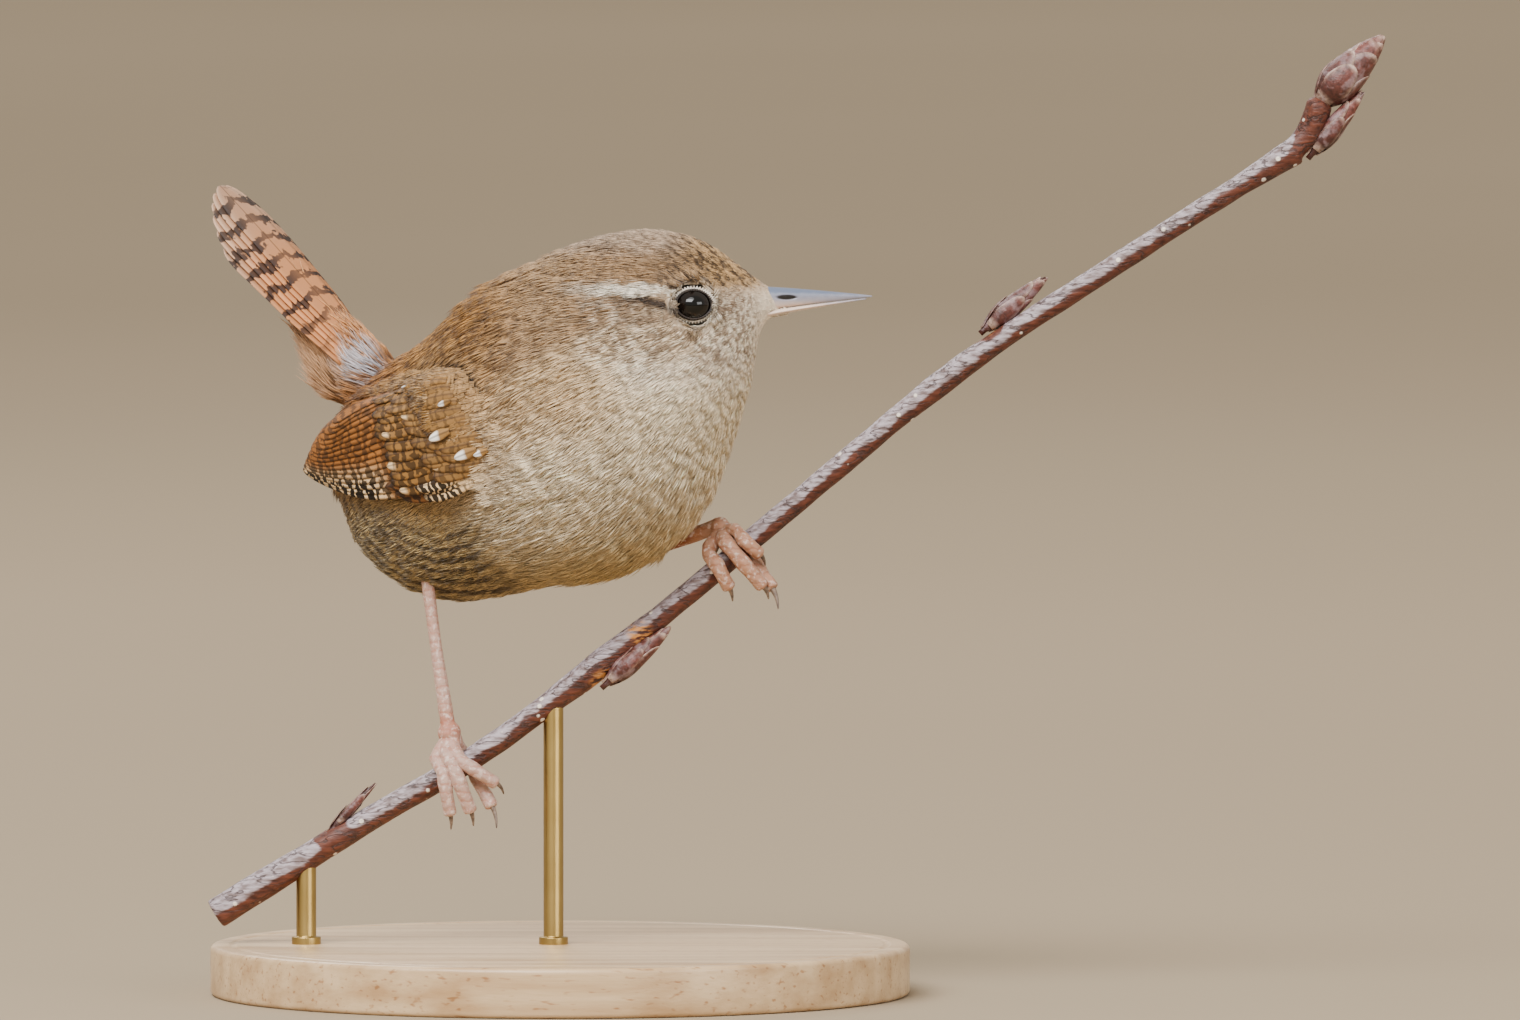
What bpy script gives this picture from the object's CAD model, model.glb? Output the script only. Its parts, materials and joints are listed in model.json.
"""A life-size wren with a cocked tail, gripping a sloping budded twig held over a turned wooden base.

Lengths in the sub-assemblies are millimetres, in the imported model's frame: +Z up, +X the way the bill points,
and the bird's right side towards -Y. Meshes are made in metres, with every finished object at the origin.
"""

import json
import logging
import math
from dataclasses import dataclass, field
from enum import Enum
from typing import Callable, Sequence

import bpy
import numpy as np
from mathutils import Matrix, Vector
from mathutils.bvhtree import BVHTree

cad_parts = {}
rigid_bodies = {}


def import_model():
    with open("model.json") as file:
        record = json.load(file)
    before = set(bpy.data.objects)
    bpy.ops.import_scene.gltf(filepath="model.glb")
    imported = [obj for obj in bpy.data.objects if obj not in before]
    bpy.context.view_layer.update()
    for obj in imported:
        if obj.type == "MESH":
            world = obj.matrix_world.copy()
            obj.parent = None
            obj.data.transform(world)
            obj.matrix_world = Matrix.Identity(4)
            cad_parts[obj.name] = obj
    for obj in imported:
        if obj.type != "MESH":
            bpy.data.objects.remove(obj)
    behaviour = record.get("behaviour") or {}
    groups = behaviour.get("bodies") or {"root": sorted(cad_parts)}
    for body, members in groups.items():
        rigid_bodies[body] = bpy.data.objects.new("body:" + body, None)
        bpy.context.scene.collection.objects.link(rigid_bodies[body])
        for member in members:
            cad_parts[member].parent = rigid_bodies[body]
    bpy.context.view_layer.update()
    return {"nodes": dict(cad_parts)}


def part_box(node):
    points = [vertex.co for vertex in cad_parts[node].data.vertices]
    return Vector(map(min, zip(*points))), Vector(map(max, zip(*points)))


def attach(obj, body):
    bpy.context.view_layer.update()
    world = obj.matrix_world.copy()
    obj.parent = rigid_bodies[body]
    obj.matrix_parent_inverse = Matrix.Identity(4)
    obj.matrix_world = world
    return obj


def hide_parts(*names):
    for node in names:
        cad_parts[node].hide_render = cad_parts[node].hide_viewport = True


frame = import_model()

LOG = logging.getLogger("wren")
MM = 0.001
BODY = "root"

Array = np.ndarray


# Small tools


def linear(colour: int) -> tuple[float, float, float, float]:
    """Turns an sRGB hex colour into linear light.

    Args:
        colour: the colour as 0xRRGGBB.

    Returns:
        Linear red, green, blue and an alpha of one.
    """
    parts = [((colour >> shift) & 255) / 255 for shift in (16, 8, 0)]
    lit = [c / 12.92 if c <= 0.04045 else ((c + 0.055) / 1.055) ** 2.4 for c in parts]
    return (lit[0], lit[1], lit[2], 1.0)


def rgb(colour: int) -> Array:
    """Gives a hex colour as a linear three-value array."""
    return np.array(linear(colour)[:3])


def unit(vectors: Array) -> Array:
    """Scales each row of an array of vectors to length one."""
    return vectors / np.maximum(np.linalg.norm(vectors, axis=-1, keepdims=True), 1e-9)


def smooth(low: float, high: float, value: Array) -> Array:
    """Rises softly from 0 at low to 1 at high."""
    t = np.clip((value - low) / (high - low), 0, 1)
    return t * t * (3 - 2 * t)


def blend(a: Array | int, b: Array | int, weight: Array) -> Array:
    """Mixes colours, given as rows or as one hex colour, by a weight for each row."""
    a, b = (rgb(colour) if isinstance(colour, int) else colour for colour in (a, b))
    return a + (b - a) * np.asarray(weight)[:, None]


def deselect() -> None:
    """Leaves edit mode's objects and the imported nodes unselected."""
    for thing in bpy.context.view_layer.objects:
        thing.select_set(False)


def activate(piece: bpy.types.Object) -> None:
    """Selects one object alone and makes it active.

    Args:
        piece: the piece.
    """
    deselect()
    piece.select_set(True)
    bpy.context.view_layer.objects.active = piece


def apply_modifiers(piece: bpy.types.Object) -> None:
    """Applies every modifier of a piece, in order.

    Args:
        piece: the piece.
    """
    activate(piece)
    for modifier in list(piece.modifiers):
        bpy.ops.object.modifier_apply(modifier=modifier.name)


def settle(piece: bpy.types.Object, name: str) -> bpy.types.Object:
    """Names a piece and moves its place into its mesh, so that its object sits at the origin.

    Args:
        piece: the piece.
        name: its new name.

    Returns:
        The same piece.
    """
    piece.name = name
    piece.data.name = name
    piece.data.transform(piece.matrix_basis)
    piece.matrix_basis = Matrix.Identity(4)
    return piece


def finish_piece(piece: bpy.types.Object, material: bpy.types.Material) -> bpy.types.Object:
    """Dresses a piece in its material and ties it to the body.

    Args:
        piece: the piece.
        material: its finish.

    Returns:
        The same piece.
    """
    piece.data.materials.clear()
    piece.data.materials.append(material)
    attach(piece, BODY)
    LOG.info("%s: %d faces", piece.name, len(piece.data.polygons))
    return piece


def mesh_piece(name: str, points: Array, faces: Array) -> bpy.types.Object:
    """Makes an object from arrays of points in millimetres and of faces with one count of corners.

    Args:
        name: the object's name.
        points: one row for each vertex, in millimetres.
        faces: one row of vertex numbers for each face.

    Returns:
        The new object, linked to the scene.
    """
    mesh = bpy.data.meshes.new(name)
    corners = faces.shape[1]
    mesh.vertices.add(len(points))
    mesh.vertices.foreach_set("co", (points * MM).astype(np.float32).ravel())
    mesh.loops.add(faces.size)
    mesh.loops.foreach_set("vertex_index", faces.astype(np.int32).ravel())
    mesh.polygons.add(len(faces))
    mesh.polygons.foreach_set("loop_start", np.arange(0, faces.size, corners, dtype=np.int32))
    mesh.polygons.foreach_set("use_smooth", np.ones(len(faces), bool))
    mesh.update(calc_edges=True)
    piece = bpy.data.objects.new(name, mesh)
    bpy.context.collection.objects.link(piece)
    return piece


def point_colours(piece: bpy.types.Object, name: str, colours: Array) -> None:
    """Writes a linear colour for each vertex into a colour attribute.

    Args:
        piece: the piece.
        name: the attribute's name.
        colours: one colour for each vertex, or one.
    """
    layer = piece.data.color_attributes.new(name, "FLOAT_COLOR", "POINT")
    values = np.ones((len(piece.data.vertices), 4), np.float32)
    values[:, :3] = colours
    layer.data.foreach_set("color", values.ravel())


def point_values(piece: bpy.types.Object, name: str, values: Array) -> None:
    """Writes a number for each vertex into an attribute."""
    layer = piece.data.attributes.new(name, "FLOAT", "POINT")
    layer.data.foreach_set("value", values.astype(np.float32))


def corner_map(piece: bpy.types.Object, name: str, places: Array) -> None:
    """Writes a UV map from one pair of values for each vertex.

    Args:
        piece: the piece.
        name: the map's name.
        places: two values for each vertex.
    """
    mesh = piece.data
    index = np.empty(len(mesh.loops), np.int32)
    mesh.loops.foreach_get("vertex_index", index)
    layer = mesh.uv_layers.new(name=name)
    layer.data.foreach_set("uv", places[index].astype(np.float32).ravel())


def mesh_points(piece: bpy.types.Object) -> Array:
    """Reads a piece's vertices in millimetres.

    Args:
        piece: the piece.

    Returns:
        One row for each vertex.
    """
    values = np.empty(len(piece.data.vertices) * 3, np.float32)
    piece.data.vertices.foreach_get("co", values)
    return values.reshape(-1, 3).astype(float) / MM


def mesh_normals(piece: bpy.types.Object) -> Array:
    """Reads a piece's vertex normals.

    Args:
        piece: the piece.

    Returns:
        One row for each vertex.
    """
    values = np.empty(len(piece.data.vertices) * 3, np.float32)
    piece.data.vertex_normals.foreach_get("vector", values)
    return values.reshape(-1, 3).astype(float)


def node_copy(*names: str) -> bpy.types.Object:
    """Copies CAD nodes into one new object, with their loose triangles merged.

    Args:
        names: the nodes to copy.

    Returns:
        One object that holds all their forms.
    """
    copies = []
    for name in names:
        copy = bpy.data.objects.new(f"{name}_form", frame["nodes"][name].data.copy())
        bpy.context.collection.objects.link(copy)
        copies.append(copy)
    activate(copies[0])
    for copy in copies:
        copy.select_set(True)
    if len(copies) > 1:
        bpy.ops.object.join()
    bpy.ops.object.mode_set(mode="EDIT")
    bpy.ops.mesh.select_all(action="SELECT")
    bpy.ops.mesh.remove_doubles(threshold=1e-6)
    bpy.ops.object.mode_set(mode="OBJECT")
    return copies[0]


def soften(piece: bpy.types.Object, voxel: float, passes: int, swell: float) -> None:
    """Turns a faceted piece into one smooth, finely divided form.

    Args:
        piece: the piece, which may be several closed forms that cross.
        voxel: how fine the new faces are, in millimetres.
        passes: how many smoothing passes follow.
        swell: how far the surface is pushed out first, which closes thin cuts.
    """
    push = piece.modifiers.new("swell", "DISPLACE")
    push.strength = swell * MM
    push.mid_level = 0
    remesh = piece.modifiers.new("remesh", "REMESH")
    remesh.mode = "VOXEL"
    remesh.voxel_size = voxel * MM
    relax = piece.modifiers.new("relax", "SMOOTH")
    relax.factor = 0.5
    relax.iterations = passes
    apply_modifiers(piece)
    bpy.ops.object.shade_smooth()


def rounded_copy(names: Sequence[str], voxel: float, passes: int, swell: float) -> bpy.types.Object:
    """Copies faceted CAD nodes and turns them into one smooth, finely divided form.

    Args:
        names: the nodes to copy.
        voxel: how fine the new faces are, in millimetres.
        passes: how many smoothing passes follow.
        swell: how far the surface is pushed out first, which closes the thin cuts between nodes.

    Returns:
        The rounded object.
    """
    piece = node_copy(*names)
    soften(piece, voxel, passes, swell)
    return piece


def face_outwards(piece: bpy.types.Object) -> None:
    """Turns every face of a closed piece outwards.

    Args:
        piece: the piece.
    """
    activate(piece)
    bpy.ops.object.mode_set(mode="EDIT")
    bpy.ops.mesh.select_all(action="SELECT")
    bpy.ops.mesh.normals_make_consistent(inside=False)
    bpy.ops.object.mode_set(mode="OBJECT")


def move_points(piece: bpy.types.Object, points: Array) -> None:
    """Puts a piece's vertices at new places, in millimetres."""
    piece.data.vertices.foreach_set("co", (points * MM).astype(np.float32).ravel())
    piece.data.update()


def loft(rings: Array) -> tuple[Array, Array]:
    """Joins rings of points into one closed skin of triangles, with a fan over each end.

    Args:
        rings: points as rings by corners by three.

    Returns:
        The points and the triangles.
    """
    count, sides = rings.shape[:2]
    points = rings.reshape(-1, 3)
    faces = []
    for i in range(count - 1):
        for j in range(sides):
            a, b = i * sides + j, i * sides + (j + 1) % sides
            faces += [(a, b, b + sides), (a, b + sides, a + sides)]
    last = (count - 1) * sides
    hubs = len(points)
    for j in range(sides):
        k = (j + 1) % sides
        faces += [(hubs, k, j), (hubs + 1, last + j, last + k)]
    points = np.vstack([points, rings[0].mean(0), rings[-1].mean(0)])
    return points, np.array(faces)


# Finishes


class Tree:
    """A material's node tree, with one call that adds a node."""

    def __init__(self, name: str) -> None:
        """Starts a material, with the place on the object ready for its textures.

        Args:
            name: the material's name.
        """
        self.material = bpy.data.materials.new(name)
        self.material.use_nodes = True
        self.tree = self.material.node_tree
        self.shader = self.tree.nodes["Principled BSDF"]
        self.place = self.add("TexCoord", out="Object")

    def add(self, kind: str, inputs: dict | tuple = (), out: int | str = 0,
            stops: Sequence[tuple[float, int]] = (), **settings: object) -> bpy.types.NodeSocket:
        """Adds a node with its settings and links.

        Args:
            kind: the node's type name, without ShaderNode in front.
            inputs: values, or the sockets that feed them, in the sockets' order or by their names.
            out: which of its outputs is wanted.
            stops: a colour ramp's places and colours.
            settings: attributes of the node itself.

        Returns:
            The wanted output.
        """
        node = self.tree.nodes.new(f"ShaderNode{kind}")
        for key, value in settings.items():
            setattr(node, key, value)
        for _ in stops[2:]:
            node.color_ramp.elements.new(0.5)
        for number, (place, colour) in enumerate(stops):
            node.color_ramp.elements[number].position = place
            node.color_ramp.elements[number].color = linear(colour)
        self.feed(node, inputs if isinstance(inputs, dict) else dict(enumerate(inputs)))
        return node.outputs[out]

    def feed(self, node: bpy.types.Node, inputs: dict) -> None:
        """Sets a node's sockets to values, or links them to other nodes' outputs.

        Args:
            node: the node.
            inputs: sockets by name or number, with what goes into each.
        """
        for key, value in inputs.items():
            if isinstance(value, bpy.types.NodeSocket):
                self.tree.links.new(value, node.inputs[key])
            else:
                node.inputs[key].default_value = value

    def shade(self, **inputs: object) -> bpy.types.Material:
        """Sets the shader's own sockets, with spaces in their names given as underscores."""
        self.feed(self.shader, {key.replace("_", " "): value for key, value in inputs.items()})
        return self.material


@dataclass(frozen=True)
class Plumage:
    """Soft keratin barbs of body feathers: dull, with a faint silky sheen along the bird."""

    roughness: float = 0.72
    sheen: float = 0.12
    fleck: float = 0.45

    def make(self, name: str) -> bpy.types.Material:
        """Builds the material, which reads the markings from the Plumage attribute.

        Args:
            name: the material's name.

        Returns:
            The finished material.
        """
        tree = Tree(name)
        marking = tree.add("Attribute", attribute_name="Plumage")
        noise = tree.add("TexNoise", {"Vector": tree.place, "Scale": 1 / (self.fleck * MM)})
        grain = tree.add("ValToRGB", (noise,), stops=((0.3, 0xDADADA), (0.7, 0xFFFFFF)))
        worn = tree.add("MixRGB", (1.0, marking, grain), blend_type="MULTIPLY")
        return tree.shade(Base_Color=worn, Roughness=self.roughness, Specular_IOR_Level=0.25,
                          Sheen_Weight=self.sheen, Sheen_Roughness=0.5)


@dataclass(frozen=True)
class Vaned:
    """Stiff flight feather keratin: crisp bars across a web whose barbs give a fine slanting grain."""

    period: float
    bar: int
    raggedness: float = 0.35
    breadth: float = 0.9
    barb: float = 0.16
    roughness: float = 0.55
    shaft: int = 0x3A2415

    def make(self, name: str) -> bpy.types.Material:
        """Builds the material from the Vane map, in millimetres along and across, and the Ground colours.

        The Barring attribute says how wide and how dark the bars are, from none at 0 to black and broad at 1.

        Args:
            name: the material's name.

        Returns:
            The finished material.
        """
        tree = Tree(name)
        place = tree.add("UVMap", uv_map="Vane")
        along = tree.add("SeparateXYZ", (place,))
        across = tree.add("Math", (tree.add("SeparateXYZ", (place,), out=1),), operation="ABSOLUTE")
        ground = tree.add("Attribute", attribute_name="Ground")
        strength = tree.add("Attribute", out="Fac", attribute_name="Barring")
        noise = tree.add("TexNoise", {"Vector": tree.place, "Scale": 1 / (1.1 * MM)})
        wander = tree.add("Math", (noise, 0.5), operation="SUBTRACT")
        bowed = tree.add("Math", (across, 0.35, along), operation="MULTIPLY_ADD")
        bowed = tree.add("Math", (wander, self.raggedness * 4, bowed), operation="MULTIPLY_ADD")
        phase = tree.add("Math", (bowed, 2 * math.pi / self.period), operation="MULTIPLY")
        wave = tree.add("Math", (phase,), operation="SINE")
        level = tree.add("Math", (strength, self.breadth, wave), operation="MULTIPLY_ADD")
        dark = tree.add("MapRange", (level, 0.25, 0.75), interpolation_type="SMOOTHSTEP")
        depth = tree.add("Math", (strength, 0.5), operation="POWER")
        weight = tree.add("Math", (dark, depth), operation="MULTIPLY")
        barred = tree.add("MixRGB", (weight, ground, linear(self.bar)))
        slant = tree.add("Math", (across, -0.9, along), operation="MULTIPLY_ADD")
        slant = tree.add("Math", (slant, 2 * math.pi / self.barb), operation="MULTIPLY")
        grain = tree.add("Math", (slant,), operation="SINE")
        shaft = tree.add("MapRange", (across, 0.05, 0.14, 0.55, 0.0))
        shafted = tree.add("MixRGB", (shaft, barred, linear(self.shaft)))
        relief = tree.add("Bump", {"Height": grain, "Distance": 0.03 * MM, "Strength": 0.5})
        return tree.shade(Base_Color=shafted, Roughness=self.roughness, Specular_IOR_Level=0.3,
                          Normal=relief)


@dataclass(frozen=True)
class BillHorn:
    """Smooth thin horn of the bill: slate on the ridge, flesh pink along the edges, with a soft gloss."""

    ridge: int = 0x636D82
    between: int = 0x9B97A1
    edge: int = 0xDCC3B2
    slit: int = 0x15100E
    low: float = 82.6
    high: float = 84.9

    def make(self, name: str) -> bpy.types.Material:
        """Builds the material, shaded by height over the mouth line.

        Args:
            name: the material's name.

        Returns:
            The finished material.
        """
        tree = Tree(name)
        height = tree.add("SeparateXYZ", (tree.place,), out=2)
        level = tree.add("MapRange", (height, self.low * MM, self.high * MM))
        noise = tree.add("TexNoise", {"Vector": tree.place, "Scale": 1 / (0.9 * MM)})
        mottle = tree.add("Math", (noise, 0.25, level), operation="MULTIPLY_ADD")
        stops = ((0.2, self.edge), (0.55, self.between), (0.95, self.ridge))
        horn = tree.add("ValToRGB", (mottle,), stops=stops)
        slit = tree.add("Attribute", out="Fac", attribute_name="Slit")
        horn = tree.add("MixRGB", (slit, horn, linear(self.slit)))
        ripple = tree.add("TexNoise", {"Vector": tree.place, "Scale": 1 / (0.35 * MM)})
        relief = tree.add("Bump", {"Height": ripple, "Distance": 0.02 * MM})
        return tree.shade(Base_Color=horn, Roughness=0.28, Specular_IOR_Level=0.55, Normal=relief)


@dataclass(frozen=True)
class EyeGlobe:
    """A wet dark eye: an almost black iris round a black pupil under a clear, sharply glossy cornea."""

    pupil: int = 0x020202
    iris: int = 0x120A07
    rim: int = 0x080504

    def make(self, name: str) -> bpy.types.Material:
        """Builds the material, with the iris ring read from the Iris attribute.

        Args:
            name: the material's name.

        Returns:
            The finished material.
        """
        tree = Tree(name)
        ring = tree.add("Attribute", out="Fac", attribute_name="Iris")
        stops = ((0.42, self.pupil), (0.52, self.iris), (0.85, self.rim))
        return tree.shade(Base_Color=tree.add("ValToRGB", (ring,), stops=stops), Roughness=0.03, IOR=1.46)


@dataclass(frozen=True)
class BareSkin:
    """Thin bare skin over the legs: pale pink, redder at the joints, with fine crosswise scutes."""

    pale: int = 0xB49384
    mid: int = 0xB08270
    flake: int = 0xDCC8BC
    deep: int = 0xA05A40
    scute: float = 1.05

    def make(self, name: str) -> bpy.types.Material:
        """Builds the material, with its redness read from the Flush attribute.

        Args:
            name: the material's name.

        Returns:
            The finished material.
        """
        tree = Tree(name)
        flush = tree.add("Attribute", out="Fac", attribute_name="Flush")
        blotch = tree.add("TexNoise", {"Vector": tree.place, "Scale": 1 / (0.8 * MM)})
        blotch = tree.add("Math", (blotch, 0.5), operation="SUBTRACT")
        blotch = tree.add("Math", (blotch, 0.5, flush), operation="MULTIPLY_ADD")
        stops = ((0.0, self.pale), (0.55, self.mid), (1.0, self.deep))
        colour = tree.add("ValToRGB", (blotch,), stops=stops)
        height = tree.add("SeparateXYZ", (tree.place,), out=2)
        wavy = tree.add("TexNoise", {"Vector": tree.place, "Scale": 1 / (0.9 * MM)})
        wavy = tree.add("Math", (wavy, 1.1 * MM, height), operation="MULTIPLY_ADD")
        plates = tree.add("Math", (wavy, 2 * math.pi / (self.scute * MM)), operation="MULTIPLY")
        plates = tree.add("Math", (plates,), operation="SINE")
        groove = tree.add("MapRange", (plates, -1.0, -0.55, 0.38, 0.0))
        colour = tree.add("MixRGB", (groove, colour, linear(self.deep)))
        scale = tree.add("TexNoise", {"Vector": tree.place, "Scale": 1 / (0.55 * MM), "Detail": 3})
        scale = tree.add("MapRange", (scale, 0.54, 0.66, 0.0, 0.6))
        colour = tree.add("MixRGB", (scale, colour, linear(self.flake)))
        rough = tree.add("TexNoise", {"Vector": tree.place, "Scale": 1 / (0.3 * MM)})
        rough = tree.add("Math", (plates, 0.35, rough), operation="MULTIPLY_ADD")
        relief = tree.add("Bump", {"Height": rough, "Distance": 0.05 * MM})
        return tree.shade(Base_Color=colour, Roughness=0.5, Specular_IOR_Level=0.4,
                          Subsurface_Weight=0.12, Subsurface_Scale=0.4 * MM, Normal=relief)


@dataclass(frozen=True)
class PlainHorn:
    """Claw or lid horn: one dark colour with a slight polish and faint streaks."""

    colour: int
    streak: int
    roughness: float = 0.35

    def make(self, name: str) -> bpy.types.Material:
        """Builds the material.

        Args:
            name: the material's name.

        Returns:
            The finished material.
        """
        tree = Tree(name)
        noise = tree.add("TexNoise", {"Vector": tree.place, "Scale": 1 / (0.5 * MM)})
        colour = tree.add("ValToRGB", (noise,), stops=((0.35, self.colour), (0.7, self.streak)))
        return tree.shade(Base_Color=colour, Roughness=self.roughness)


@dataclass(frozen=True)
class Bark:
    """Young smooth twig bark: red-brown and faintly glossy, with a grey film that flakes."""

    shade_side: int = 0x35140D
    ridge: int = 0x6E3927
    film: int = 0xA79BA1
    film_thin: int = 0x6A5856
    crack: int = 0x2E1A16
    lenticel: int = 0xE6DACC
    scar: int = 0xC4833E
    slope: float = math.radians(37)

    def make(self, name: str) -> bpy.types.Material:
        """Builds the material, with the weathered side and scars read from attributes.

        Args:
            name: the material's name.

        Returns:
            The finished material.
        """
        tree = Tree(name)
        weathered = tree.add("Attribute", out="Fac", attribute_name="Weathered")
        scarred = tree.add("Attribute", out="Fac", attribute_name="Scarred")
        streaked = tree.add("Mapping", {"Vector": tree.place, "Rotation": (0, self.slope, 0),
                                        "Scale": (0.22, 1, 1)})
        fine = tree.add("TexNoise", {"Vector": streaked, "Scale": 1 / (0.45 * MM), "Detail": 5})
        coarse = tree.add("TexNoise", {"Vector": streaked, "Scale": 1 / (3.0 * MM), "Detail": 4})
        bare = tree.add("ValToRGB", (fine,), stops=((0.3, self.shade_side), (0.72, self.ridge)))
        filmed = tree.add("ValToRGB", (fine,), stops=((0.36, self.film_thin), (0.6, self.film)))
        cover = weathered
        for noise, share in ((coarse, 1.5), (fine, 0.4)):
            centred = tree.add("Math", (noise, 0.5), operation="SUBTRACT")
            cover = tree.add("Math", (centred, share, cover), operation="MULTIPLY_ADD")
        cover = tree.add("MapRange", (cover, 0.42, 0.60))
        colour = tree.add("MixRGB", (cover, bare, filmed))
        split = tree.add("TexNoise", {"Vector": streaked, "Scale": 1 / (1.6 * MM), "Detail": 5})
        split = tree.add("Math", (split, 0.5), operation="SUBTRACT")
        split = tree.add("Math", (split,), operation="ABSOLUTE")
        split = tree.add("MapRange", (split, 0.006, 0.022, 0.8, 0.0))
        dot = tree.add("TexVoronoi", {"Vector": tree.place, "Scale": 1 / (2.4 * MM)})
        dot = tree.add("MapRange", (dot, 0.15, 0.10, 0.0, 1.0))
        peeled = tree.add("ValToRGB", (fine,), stops=((0.46, 0), (0.56, 0xFFFFFF)))
        peeled = tree.add("Math", (scarred, peeled), operation="MULTIPLY")
        for weight, tint in ((split, self.crack), (dot, self.lenticel), (peeled, self.scar)):
            colour = tree.add("MixRGB", (weight, colour, linear(tint)))
        relief = fine
        for part, share in ((dot, 0.5), (cover, 0.35), (split, -0.4)):
            relief = tree.add("Math", (part, share, relief), operation="MULTIPLY_ADD")
        return tree.shade(Base_Color=colour, Roughness=0.5, Specular_IOR_Level=0.45,
                          Normal=tree.add("Bump", {"Height": relief, "Distance": 0.16 * MM}))


@dataclass(frozen=True)
class BudScale:
    """Dry overlapping bud scales: dark red-brown leather, greyed by the sun, with papery rims."""

    bloom: int = 0xA58E92

    def make(self, name: str) -> bpy.types.Material:
        """Builds the material on the Ground colours of body and rim.

        Args:
            name: the material's name.

        Returns:
            The finished material.
        """
        tree = Tree(name)
        ground = tree.add("Attribute", attribute_name="Ground")
        fine, broad, rough = (
            tree.add("TexNoise", {"Vector": tree.place, "Scale": 1 / (size * MM), "Detail": detail})
            for size, detail in ((0.5, 4), (1.3, 3), (0.28, 4)))
        grain = tree.add("ValToRGB", (fine,), stops=((0.3, 0x9A8A84), (0.7, 0xFFFFFF)))
        worn = tree.add("MixRGB", (1.0, ground, grain), blend_type="MULTIPLY")
        patch = tree.add("MapRange", (broad, 0.52, 0.66, 0.0, 0.4))
        colour = tree.add("MixRGB", (patch, worn, linear(self.bloom)))
        return tree.shade(Base_Color=colour, Roughness=0.45,
                          Normal=tree.add("Bump", {"Height": rough, "Distance": 0.07 * MM}))


@dataclass(frozen=True)
class TurnedBeech:
    """Waxed beech turned on a lathe: pale tan with straight grain and short darker flecks."""

    light: int = 0xD2B48C
    dark: int = 0xB08C62
    fleck: int = 0xC9A98A
    grain: float = 1.6

    def make(self, name: str) -> bpy.types.Material:
        """Builds the material from long noise streaks along X.

        Args:
            name: the material's name.

        Returns:
            The finished material.
        """
        tree = Tree(name)
        along, flecks = (tree.add("Mapping", {"Vector": tree.place, "Scale": (share, 1, 1)})
                         for share in (0.06, 0.22))
        streaks, dots, rough = (
            tree.add("TexNoise", {"Vector": place, "Scale": 1 / (size * MM), "Detail": detail})
            for place, size, detail in ((along, self.grain * 2, 5), (flecks, 0.5, 1), (along, 0.6, 3)))
        grain = tree.add("ValToRGB", (streaks,), stops=((0.3, self.dark), (0.65, self.light)))
        fleck = tree.add("ValToRGB", (dots,), stops=((0.62, 0xFFFFFF), (0.74, self.fleck)))
        colour = tree.add("MixRGB", (0.8, grain, fleck), blend_type="MULTIPLY")
        return tree.shade(Base_Color=colour, Roughness=0.38, Coat_Weight=0.15, Coat_Roughness=0.3,
                          Normal=tree.add("Bump", {"Height": rough, "Distance": 0.05 * MM}))


@dataclass(frozen=True)
class DrawnBrass:
    """Drawn brass rod with a dull hand polish and faint lengthwise lines."""

    worn: int = 0xA88B50
    colour: int = 0xB79A5C

    def make(self, name: str) -> bpy.types.Material:
        """Builds the material.

        Args:
            name: the material's name.

        Returns:
            The finished material.
        """
        tree = Tree(name)
        drawn = tree.add("Mapping", {"Vector": tree.place, "Scale": (1, 1, 0.03)})
        lines = tree.add("TexNoise", {"Vector": drawn, "Scale": 1 / (0.12 * MM)})
        patch = tree.add("TexNoise", {"Vector": tree.place, "Scale": 1 / (5 * MM)})
        tint = tree.add("ValToRGB", (patch,), stops=((0.3, self.worn), (0.7, self.colour)))
        relief = tree.add("Bump", {"Height": lines, "Distance": 0.01 * MM})
        return tree.shade(Base_Color=tint, Metallic=1.0, Roughness=0.32, Normal=relief)


@dataclass(frozen=True)
class Backdrop:
    """Matt studio paper, pale and warm."""

    shaded: int = 0x9B8B74
    colour: int = 0xA09079

    def make(self, name: str) -> bpy.types.Material:
        """Builds the material.

        Args:
            name: the material's name.

        Returns:
            The finished material.
        """
        tree = Tree(name)
        noise = tree.add("TexNoise", {"Vector": tree.place, "Scale": 1 / (900 * MM)})
        tone = tree.add("ValToRGB", (noise,), stops=((0.3, self.shaded), (0.7, self.colour)))
        return tree.shade(Base_Color=tone, Roughness=0.95, Specular_IOR_Level=0.1)


# The bird's own frame


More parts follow.
